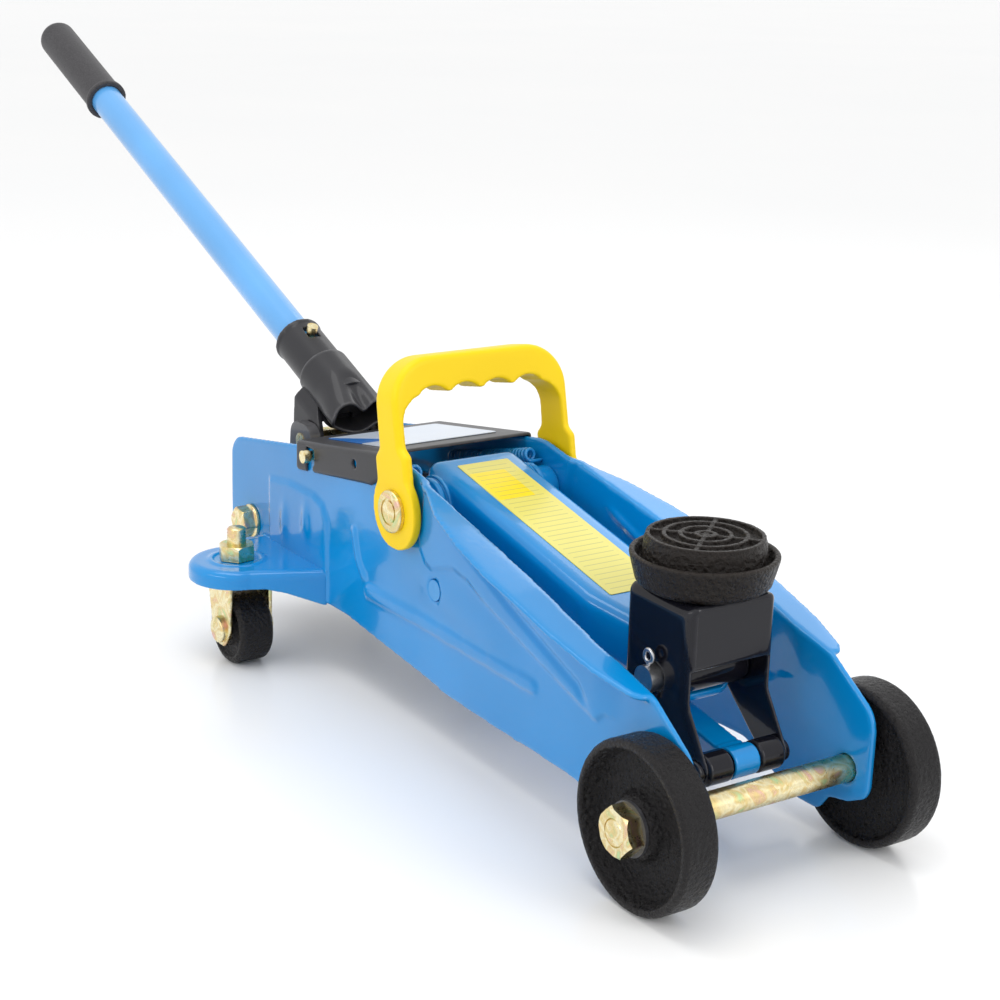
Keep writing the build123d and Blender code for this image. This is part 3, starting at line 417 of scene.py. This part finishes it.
# ---------------------------------------------------------------- mesh helpers
def new_object(name, mesh, mat):
    obj = bpy.data.objects.new(name, mesh)
    bpy.context.collection.objects.link(obj)
    mesh.materials.clear()
    mesh.materials.append(mat)
    mesh.polygons.foreach_set("use_smooth", [True] * len(mesh.polygons))
    return obj


def settle(obj):
    """Applies every modifier of obj."""
    graph = bpy.context.evaluated_depsgraph_get()
    graph.update()
    done = bpy.data.meshes.new_from_object(obj.evaluated_get(graph))
    mats = list(obj.data.materials)
    obj.modifiers.clear()
    obj.data = done
    done.materials.clear()
    for mat in mats:
        done.materials.append(mat)
    done.polygons.foreach_set("use_smooth", [True] * len(done.polygons))


def closed_mesh(name, verts, faces):
    """Mesh with doubled points joined and its faces turned outwards."""
    mesh = bpy.data.meshes.new(name)
    mesh.from_pydata(verts, [], faces)
    bm = bmesh.new()
    bm.from_mesh(mesh)
    bmesh.ops.remove_doubles(bm, verts=bm.verts, dist=1e-7)
    bmesh.ops.recalc_face_normals(bm, faces=bm.faces)
    bm.to_mesh(mesh)
    bm.free()
    return mesh


def finish_piece(obj, body, slot, *nodes):
    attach(obj, body)
    if nodes:
        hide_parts(*nodes)


def softened(node, voxel, rounds, mat, shape=None, thin=1.0, again=2):
    """The node's form as one skin with rounded edges.

    shape, which works on points in millimetres, may press it. again is the rounds of smoothing after
    that, and thin the share of faces that is kept.
    """
    mesh = NODES[node].data.copy()
    bm = bmesh.new()
    bm.from_mesh(mesh)
    bmesh.ops.remove_doubles(bm, verts=bm.verts, dist=1e-6)
    bm.to_mesh(mesh)
    bm.free()
    for layer in list(mesh.uv_layers):
        mesh.uv_layers.remove(layer)
    obj = new_object(node + "_skin", mesh, mat)
    skin = obj.modifiers.new("skin", "REMESH")
    skin.mode, skin.voxel_size, skin.adaptivity = "VOXEL", voxel * MM, 0.0
    smooth(obj, rounds)
    if shape:
        press(obj, shape)
        smooth(obj, again)
    if thin < 1.0:
        obj.modifiers.new("thin", "DECIMATE").ratio = thin
        settle(obj)
    finish_piece(obj, BODY_OF[node], SLOT_OF[node], node)


def press(obj, shape):
    """Moves the mesh's points by shape, which takes and returns points in millimetres."""
    count = len(obj.data.vertices)
    points = np.empty(count * 3)
    obj.data.vertices.foreach_get("co", points)
    points = points.reshape(count, 3)
    points[:, 0] -= AXLE_X
    points = shape(points / MM) * MM
    points[:, 0] += AXLE_X
    obj.data.vertices.foreach_set("co", points.ravel())
    obj.data.update()


def smooth(obj, rounds):
    """Applies what modifiers obj has, and rounds of smoothing after them."""
    soft = obj.modifiers.new("soft", "SMOOTH")
    soft.factor, soft.iterations = 0.5, rounds
    settle(obj)


def smooth_step(value):
    value = np.clip(value, 0.0, 1.0)
    return value * value * (3 - 2 * value)


def line_distance(x, z, line):
    """Distance to a polyline, and how far along it the nearest point is, from 0 to 1."""
    best = np.full(x.shape, 1e9)
    share = np.zeros(x.shape)
    lengths = [math.dist(p, q) for p, q in zip(line, line[1:])]
    done, total = 0.0, sum(lengths)
    for (ax, az), (bx, bz), length in zip(line, line[1:], lengths):
        t = np.clip(((x - ax) * (bx - ax) + (z - az) * (bz - az)) / length**2, 0, 1)
        gap = np.hypot(x - ax - t * (bx - ax), z - az - t * (bz - az))
        closer = gap < best
        best = np.where(closer, gap, best)
        share = np.where(closer, (done + t * length) / total, share)
        done += length
    return best, share


def within(x, z, outline):
    """True inside a closed outline."""
    inside = np.zeros(x.shape, bool)
    for (ax, az), (bx, bz) in zip(outline, outline[1:] + outline[:1]):
        if az == bz:
            continue
        cross = ((az > z) != (bz > z)) & (x < (bx - ax) * (z - az) / (bz - az) + ax)
        inside ^= cross
    return inside


def bead_height(x, z, line, half_width, height, taper=0.12):
    """A rounded bead along line that runs out at both ends, over taper of its length."""
    gap, share = line_distance(x, z, line)
    ends = smooth_step(share / taper) * smooth_step((1 - share) / taper)
    return height * ends * (0.5 + 0.5 * np.cos(np.pi * np.clip(gap / half_width, 0, 1)))


def step_height(x, z, edge, rest, height, ramp_width):
    """A raised field inside edge + rest. It ramps up along edge only."""
    gap, _ = line_distance(x, z, edge)
    return np.where(within(x, z, edge + rest), height * smooth_step(gap / ramp_width), 0.0)


# What is pressed into the side plates, as lines in x and z.
WEB_EDGE = [(-196, 124), (-198, 112), (-201, 100), (-200, 91), (-194, 85), (-187, 83), (-177, 86), (-167, 89),
            (-155, 87.5), (-142, 82.5), (-110, 73.5), (-80, 66), (-62, 61.5), (-51, 58.5)]
WEB_REST = [(-44, 64), (-14, 70), (-14, 100), (-94, 115), (-190, 140)]
WEB_GROOVE = [(-171, 109.5), (-150, 101.2), (-117.7, 88.6), (-90, 79.6), (-63, 71), (-51, 60.5)]
REAR_EDGE = [(-355, 36), (-355, 89), (-330, 92.5), (-304, 92.5), (-293, 89), (-288, 80), (-287, 36)]
SWAGE_TAIL = [(-263, 86), (-261, 76), (-257.5, 67), (-250, 59)]
FIELD_FOLD = [(-222, 82), (-180, 74), (-100, 62)]
THUMBS = [(-334.5, 68.0), (-311.0, 74.0)]
PLATE_OUT = (42.6, 49.4)                # y of the plates' outer faces, behind and at the front
PLATE_SPLAY = (-200.0, -22.0)           # x where the plates start and stop to splay
FLANGE_REACH, FLANGE_FADE = 3.5, 2.5    # pressing fades out here past the face, so flanges stay flat
WEB_RISE, REAR_RISE = (1.7, 3.4), (1.5, 3.2)            # height of a raised field, and its ramp
WEB_FADE = (-30, 22)                    # x where the raised web ends, and the length it fades over
GROOVE_BEAD, SWAGE_BEAD = (3.6, -1.5), (3.4, 1.3)       # half-width and height
FOLD_BEAD = (15.0, 0.9, 0.3)            # half-width, height and taper
THUMB_RISE, THUMB_SIZE = 1.6, (3.6, 8.0)
WAVE = 0.16                             # depth of the slow unevenness of pressed sheet

BOLT_MOVE = ((-373.0, 60.0), (-374.6, 58.2), 0.93)     # from, to, size
NOSE_START, NOSE_KEPT = -49.7, 0.35     # the arm's nose keeps this share of its length past x
SLEEVE_HALF = 19.9
LINK_EYE = (-15.0, 44.0)
EYE_BORE, EYE_RIM, EYE_KEPT = 5.3, 9.5, 0.5
EYE_REACH = (10.5, 1.5, 6.0)            # outer radius of the change, its fade, and how far back it goes
PIN_THICK = 0.42                        # share the link pin grows by
PIN_BAND = (7.2, 0.8, 20.2, 0.4)        # inner end and fade, outer end and fade, in y
WHEEL_FACE = 68.1
WHEEL_HEIGHT = 36.0
WELL_DEPTH = 2.6
WELL_RADII = (30.6, 1.6, 13.0, 2.0)     # outer radius and fade, inner radius and fade
WELL_BAND = (9.0, 4.0)                  # how far behind the face the well reaches, and its fade
HANDLE_FOOT = (-320.4, 116.4)
HANDLE_TURN = math.radians(22.57)


def pressed_plate(points):
    """Raised panels, grooves, beads and thumb marks of a stamped side plate."""
    x, y, z = points[:, 0], points[:, 1], points[:, 2]
    side = np.sign(y)
    share = np.clip((x - PLATE_SPLAY[0]) / (PLATE_SPLAY[1] - PLATE_SPLAY[0]), 0, 1)
    face = PLATE_OUT[0] + share * (PLATE_OUT[1] - PLATE_OUT[0])
    wall = smooth_step((face + FLANGE_REACH - np.abs(y)) / FLANGE_FADE)
    end, fade = WEB_FADE
    out = step_height(x, z, WEB_EDGE, WEB_REST, *WEB_RISE) * smooth_step((end - x) / fade)
    out += bead_height(x, z, WEB_GROOVE, *GROOVE_BEAD)
    out += step_height(x, z, REAR_EDGE, [], *REAR_RISE)
    width, height = THUMB_SIZE
    for cx, cz in THUMBS:
        out += THUMB_RISE * np.exp(-((x - cx) / width) ** 2 - ((z - cz) / height) ** 2)
    out += bead_height(x, z, SWAGE_TAIL, *SWAGE_BEAD)
    out += bead_height(x, z, FIELD_FOLD, *FOLD_BEAD)
    out += WAVE * np.sin(x / 21.0 + z / 13.0) * np.sin(x / 37.0 - z / 17.0 + 1.0)
    points[:, 1] = y + side * out * wall
    return points


def small_bolt(points):
    """The bolt as the plates show it: a little smaller, lower and further back."""
    (x0, z0), (x1, z1), size = BOLT_MOVE
    points[:, 0] = x1 + (points[:, 0] - x0) * size
    points[:, 2] = z1 + (points[:, 2] - z0) * size
    return points


def short_nose(points):
    """The channel is drawn back towards the sleeve's middle, so the sleeve shows in front of it."""
    x = points[:, 0]
    points[:, 0] = np.where(x > NOSE_START, NOSE_START + (x - NOSE_START) * NOSE_KEPT, x)
    return points


def full_sleeve(points):
    """The sleeve spans the room between the bracket's cheeks."""
    half = np.abs(points[:, 1]).max()
    points[:, 1] *= SLEEVE_HALF / half
    return points


def scaled_about(points, centre, scale):
    """points, scaled in x and z about centre, with one scale for each point."""
    for axis, middle in zip((0, 2), centre):
        points[:, axis] = middle + (points[:, axis] - middle) * scale
    return points


def small_eye(points):
    """The link's front eye has a thinner rim."""
    radius = np.hypot(points[:, 0] - LINK_EYE[0], points[:, 2] - LINK_EYE[1]) + 1e-9
    rim = (radius > EYE_BORE) & (radius < EYE_RIM)
    scale = np.where(rim, (EYE_BORE + (radius - EYE_BORE) * EYE_KEPT) / radius, 1.0)
    reach, fade, back = EYE_REACH
    near = smooth_step((reach - radius) / fade) * (points[:, 0] > LINK_EYE[0] - back)
    return scaled_about(points, LINK_EYE, 1 + (scale - 1) * near)


def stout_pin(points):
    """The pin is thicker on both sides of the link's eye."""
    side = np.abs(points[:, 1])
    inner, inner_fade, outer, outer_fade = PIN_BAND
    grow = smooth_step((side - inner) / inner_fade) * smooth_step((outer - side) / outer_fade)
    return scaled_about(points, LINK_EYE, 1 + grow * PIN_THICK)


def deep_wheel(seed):
    """A front wheel with a deeper well round its hub, and with cast grains."""
    grains = cast_skin(0.14, seed)

    def shape(points):
        radius = np.hypot(points[:, 0], points[:, 2] - WHEEL_HEIGHT)
        rim, rim_fade, hub, hub_fade = WELL_RADII
        well = smooth_step((rim - radius) / rim_fade) * smooth_step((radius - hub) / hub_fade)
        back, fade = WELL_BAND
        outer = smooth_step((np.abs(points[:, 1]) - (WHEEL_FACE - back)) / fade)
        points[:, 1] -= np.sign(points[:, 1]) * well * outer * WELL_DEPTH
        return grains(points)
    return shape


def handle_frame(points):
    """Distance along the handle, and up from its axis."""
    dx, dz = points[:, 0] - HANDLE_FOOT[0], points[:, 2] - HANDLE_FOOT[1]
    along = -dx * math.cos(HANDLE_TURN) + dz * math.sin(HANDLE_TURN)
    up = dx * math.sin(HANDLE_TURN) + dz * math.cos(HANDLE_TURN)
    return along, up


def handle_point(along, across, up):
    """The reverse of handle_frame."""
    x = HANDLE_FOOT[0] - along * math.cos(HANDLE_TURN) + up * math.sin(HANDLE_TURN)
    z = HANDLE_FOOT[1] + along * math.sin(HANDLE_TURN) + up * math.cos(HANDLE_TURN)
    return x, across, z


COLLAR_R, COLLAR_KEPT = 13.3, 0.16      # the yoke's collar keeps this share of its depth past R
COLLAR_END, COLLAR_DRAWN = 42.0, 0.6    # and is drawn up the handle, towards this place
SOCKET_STEP, SOCKET_KEPT = 36.0, 0.42   # the socket keeps this share of its length below the step
BORE_END, BORE_R, BORE_KEPT = 30.3, 6.8, 0.2


def slim_yoke(points):
    """The collar is drawn in under the formed foot. The cheeks below it keep their place."""
    along, up = handle_frame(points)
    radius = np.hypot(points[:, 1], up) + 1e-9
    weight = smooth_step((up + 12.0) / 6.0)
    target = np.minimum(radius, COLLAR_R + np.maximum(radius - COLLAR_R, 0) * COLLAR_KEPT)
    scale = 1 + (target / radius - 1) * weight
    along = along + np.maximum(COLLAR_END - along, 0) * COLLAR_DRAWN * weight
    x, y, z = handle_point(along, points[:, 1] * scale, up * scale)
    return np.stack([x, y, z], axis=1)


def short_socket(points):
    """The socket ends inside the formed foot, with a nearly closed bore."""
    along, up = handle_frame(points)
    in_bore = (along < BORE_END) & (np.hypot(points[:, 1], up) < BORE_R)
    bore = np.where(in_bore, BORE_KEPT, 1.0)
    along = np.where(along < SOCKET_STEP, SOCKET_STEP - (SOCKET_STEP - along) * SOCKET_KEPT, along)
    x, y, z = handle_point(along, points[:, 1] * bore, up * bore)
    return np.stack([x, y, z], axis=1)


FOOT_ROWS, FOOT_COLUMNS = 40, 96
FOOT_S = (11.5, 55.0)           # its ends along the handle
FOOT_R, FOOT_SKIN = 14.8, 1.4
FLAT_S = (38.0, 26.0)           # where it starts to flatten, and over what length
FLAT_WIDER, FLAT_TOP, FLAT_LOW = 2.8, 3.4, 5.0
CREASE_DEPTH, CREASE_HALF = 5.2, 4.2
RIM_WAVE = 1.3


def foot_ring(i, inner):
    """Points of one ring of the foot's outer or inner skin."""
    first, last = FOOT_S
    s = first + (last - first) * i / FOOT_ROWS
    flat = float(smooth_step(np.array((FLAT_S[0] - s) / FLAT_S[1])))
    skin = FOOT_SKIN * inner
    half = FOOT_R + FLAT_WIDER * flat - skin
    top = FOOT_R - FLAT_TOP * flat - skin
    low = FOOT_R - FLAT_LOW * flat - skin
    points = []
    for k in range(FOOT_COLUMNS):
        a = 2 * math.pi * k / FOOT_COLUMNS
        y = half * math.cos(a)
        upper = math.sin(a) > 0
        up = (top if upper else low) * math.sin(a)
        if upper:
            up -= CREASE_DEPTH * flat * math.exp(-(y / CREASE_HALF) ** 2)
        wave = RIM_WAVE * flat * (1 - i / FOOT_ROWS) * math.cos(4 * a)
        points.append(at(*handle_point(s - wave, y, up)))
    return points


def socket_foot():
    """Formed foot of the lever: a tube that flattens, with a crease down its middle."""
    rows, columns = FOOT_ROWS, FOOT_COLUMNS
    rings = [foot_ring(i, inner) for inner in (0, 1) for i in range(rows + 1)]
    verts, faces = [point for points in rings for point in points], []
    ring = (rows + 1) * columns

    def vert(inner, i, k):
        return inner * ring + i * columns + k % columns

    for k in range(columns):
        for i in range(rows):
            faces.append((vert(0, i, k), vert(0, i, k + 1), vert(0, i + 1, k + 1), vert(0, i + 1, k)))
            faces.append((vert(1, i, k), vert(1, i + 1, k), vert(1, i + 1, k + 1), vert(1, i, k + 1)))
        faces.append((vert(0, 0, k), vert(1, 0, k), vert(1, 0, k + 1), vert(0, 0, k + 1)))
        faces.append((vert(0, rows, k), vert(0, rows, k + 1), vert(1, rows, k + 1), vert(1, rows, k)))
    foot = new_object("socket_foot", closed_mesh("socket_foot", verts, faces), BLACK_SATIN)
    finish_piece(foot, "lever", "black_paint")


LABEL_KEPT = (0.84, 0.92, 0.84)     # size of the cover's film against its node, in x, y and z


def small_label():
    """The cover's film, with the black border that the cover shows round it."""
    mesh = NODES["cover_label"].data.copy()
    obj = new_object("cover_label_film", mesh, COVER_FILM)
    mesh.polygons.foreach_set("use_smooth", [False] * len(mesh.polygons))

    def shape(points):
        centre = (points.min(axis=0) + points.max(axis=0)) / 2
        return centre + (points - centre) * np.array(LABEL_KEPT)
    press(obj, shape)
    finish_piece(obj, BODY_OF["cover_label"], SLOT_OF["cover_label"], "cover_label")


CAST_SCALE = 0.9        # turns of the noise in a millimetre


def grain_noise(points, seed):
    shift = Vector((seed, seed * 2, 0))
    return np.array([noise.noise(Vector(p) * CAST_SCALE + shift) for p in points])


def cast_skin(amount, seed):
    """Grains of a sand casting, as a move along each point's own direction from the middle."""
    def shape(points):
        centre = points.mean(axis=0)
        away = points - centre
        away /= np.linalg.norm(away, axis=1)[:, None] + 1e-9
        return points + away * (grain_noise(points, seed) * amount)[:, None]
    return shape


def grid_tube(name, path, radii, sides, closed=False):
    """Blue tube along path, a list of points in mm, with one radius for each point."""
    points = [at(*p) for p in path]
    count = len(points)
    verts, faces = [], []
    side = None
    for i, point in enumerate(points):
        before = points[i - 1] if (closed or i) else point
        after = points[(i + 1) % count] if (closed or i < count - 1) else point
        tangent = (after - before).normalized()
        if side is None:
            side = tangent.orthogonal().normalized()
        side = (side - tangent * side.dot(tangent)).normalized()
        other = tangent.cross(side)
        for k in range(sides):
            a = 2 * math.pi * k / sides
            verts.append(point + (side * math.cos(a) + other * math.sin(a)) * radii[i] * MM)
    rings = count if closed else count - 1
    for i in range(rings):
        for k in range(sides):
            n = (k + 1) % sides
            j = (i + 1) % count
            faces.append((i * sides + k, i * sides + n, j * sides + n, j * sides + k))
    if not closed:
        faces.append(tuple(reversed(range(sides))))
        faces.append(tuple(range((count - 1) * sides, count * sides)))
    mesh = bpy.data.meshes.new(name)
    mesh.from_pydata(verts, [], faces)
    return new_object(name, mesh, BLUE)


def weld(name, path, radius, body, seed, closed=False):
    """A painted weld bead of uneven thickness."""
    rng = random.Random(seed)
    radii = [radius * rng.uniform(0.8, 1.15) for _ in path]
    finish_piece(grid_tube(name, path, radii, 10, closed), body, "blue_paint")


def lathe(name, profile, centre, mat, segments=48):
    """Upright turned piece: profile is (radius, height) in mm, closed on itself."""
    verts, faces = [], []
    n = len(profile)
    for k in range(segments):
        a = 2 * math.pi * k / segments
        for r, s in profile:
            verts.append(at(centre[0] + r * math.cos(a), centre[1] + r * math.sin(a), s))
    for k in range(segments):
        j = (k + 1) % segments
        for i in range(n - 1):
            faces.append((k * n + i, k * n + i + 1, j * n + i + 1, j * n + i))
    return new_object(name, closed_mesh(name, verts, faces), mat)


def thread_profile(radius, start, end, pitch):
    """Crests and roots from start to end, closed at both ends on the axis."""
    depth, chamfer = 0.55, 0.9
    profile = [(0.0, start), (radius, start)]
    s = start + pitch / 2
    while s < end - pitch:
        profile += [(radius, s), (radius - depth, s + pitch / 2)]
        s += pitch
    return profile + [(radius, end - 1.0), (radius - chamfer, end), (0.0, end)]


# ---------------------------------------------------------------- pieces
SKINS = [  # node, voxel, rounds of smoothing, material, share of faces kept
    ("caster_ear_left", 0.8, 5, BLUE, 0.6), ("caster_ear_right", 0.8, 5, BLUE, 0.6),
    ("shaft_collars", 0.7, 2, BLUE, 0.6),
    ("saddle_bracket", 0.7, 3, BLACK_GLOSS, 0.6), ("top_cover", 0.6, 1, BLACK_SATIN, 0.6),
    ("carry_handle", 0.8, 7, YELLOW, 0.7), ("handle_grip", 0.7, 4, RUBBER, 0.6),
    ("caster_yoke_left", 0.6, 2, ZINC, 0.6), ("caster_yoke_right", 0.6, 2, ZINC, 0.6),
]
CAST = [  # node, voxel, rounds, material, depth of the grains
    ("caster_wheel_left", 0.6, 2, WHEEL_IRON, 0.07), ("caster_wheel_right", 0.6, 2, WHEEL_IRON, 0.07),
    ("saddle_cup", 0.6, 3, SADDLE_IRON, 0.10), ("saddle_pad", 0.5, 2, SADDLE_IRON, 0.05),
]
SHAPED = [  # node, voxel, rounds, material, shape, share of faces kept
    ("lift_arm", 0.9, 4, BLUE, short_nose, 0.7), ("level_link", 0.7, 3, BLUE, small_eye, 1.0),
    ("link_pin", 0.5, 1, BLACK_GLOSS, stout_pin, 1.0),
    ("pivot_sleeve", 0.5, 1, BLACK_GLOSS, full_sleeve, 1.0),
    ("handle_socket", 0.7, 3, BLACK_SATIN, short_socket, 0.8),
    ("lever_yoke", 0.7, 3, BLACK_SATIN, slim_yoke, 0.8), ("tie_bolts", 0.45, 1, ZINC, small_bolt, 0.7),
    ("front_wheel_left", 0.8, 3, WHEEL_IRON, deep_wheel(11), 0.8),
    ("front_wheel_right", 0.8, 3, WHEEL_IRON, deep_wheel(12), 0.8),
]


def make_pieces():
    for side in ("left", "right"):
        softened("side_plate_" + side, 0.85, 12, BLUE, pressed_plate, again=7)
    for node, voxel, rounds, mat, shape, kept in SHAPED:
        softened(node, voxel, rounds, mat, shape, kept)
    socket_foot()
    small_label()
    for node, voxel, rounds, mat, kept in SKINS:
        softened(node, voxel, rounds, mat, thin=kept)
    for seed, (node, voxel, rounds, mat, depth) in enumerate(CAST):
        softened(node, voxel, rounds, mat, cast_skin(depth, seed), 0.8)


SIDES = (("left", 1), ("right", -1))
EAR_START, EAR_STEP, EAR_Y, EAR_Z = -361, 1.5, 43.0, 53.6
ARM_PIVOT, BOSS_RADIUS, BOSS_Y = (-213, 107), 13.4, 25.7
STEM_X, STEM_Y, STEM_RADIUS, STEM_HEIGHTS, STEM_PITCH = -330.0, 74.5, 5.05, (60.0, 71.0), 1.5


def make_welds():
    """Beads along the caster ears and round the arm's bosses."""
    for name, side in SIDES:
        ear = [(EAR_START + i * EAR_STEP, side * EAR_Y, EAR_Z) for i in range(49)]
        weld("ear_weld_" + name, ear, 0.9, "frame", 3 + side)
        x, z = ARM_PIVOT
        ring = [(x + BOSS_RADIUS * math.cos(a), side * BOSS_Y, z + BOSS_RADIUS * math.sin(a))
                for a in (2 * math.pi * i / 60 for i in range(60))]
        weld("boss_weld_" + name, ring, 1.0, "arm", 7 + side, closed=True)


def make_springs():
    """Coils of the two return springs, with their hooked ends."""
    wire, radius, turns, steps = 0.9, 3.0, 26, 12
    start, end = Vector((-292.0, 0, 104.0)), Vector((-219.0, 0, 122.5))
    along = (end - start).normalized()
    across = Vector((along.z, 0, -along.x))
    middle_y, plate_y = 33.5, (39.4, 37.5, 35.5)
    for name, side in SIDES:
        path = []
        for i in range(turns * steps + 1):
            t = i / (turns * steps)
            a = 2 * math.pi * i / steps
            p = start.lerp(end, t) + across * radius * math.cos(a)
            p += Vector((0, 1, 0)) * radius * math.sin(a)
            path.append((p.x, side * (middle_y + p.y), p.z))
        hook = [(path[0][0], side * y, path[0][2]) for y in plate_y]
        tail = [(path[-1][0], side * y, path[-1][2]) for y in reversed(plate_y)]
        path = hook + path + tail
        obj = grid_tube("return_coil_" + name, path, [wire] * len(path), 8)
        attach(obj, "frame")
        if side == 1:
            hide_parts("return_springs")


def make_threads():
    """Threaded ends of the caster stems, over their nuts."""
    profile = thread_profile(STEM_RADIUS, *STEM_HEIGHTS, STEM_PITCH)
    for name, side in SIDES:
        stud = lathe("stem_thread_" + name, profile, (STEM_X, side * STEM_Y), ZINC)
        finish_piece(stud, "frame", "zinc")


def finish_cad():
    """Materials of the CAD nodes that stay."""
    for name, obj in NODES.items():
        for slot in obj.material_slots:
            slot.material = OWN_FINISH.get(name, FINISH[SLOT_OF[name]])


make_camera()
make_studio()
finish_cad()
make_pieces()
make_welds()
make_springs()
make_threads()
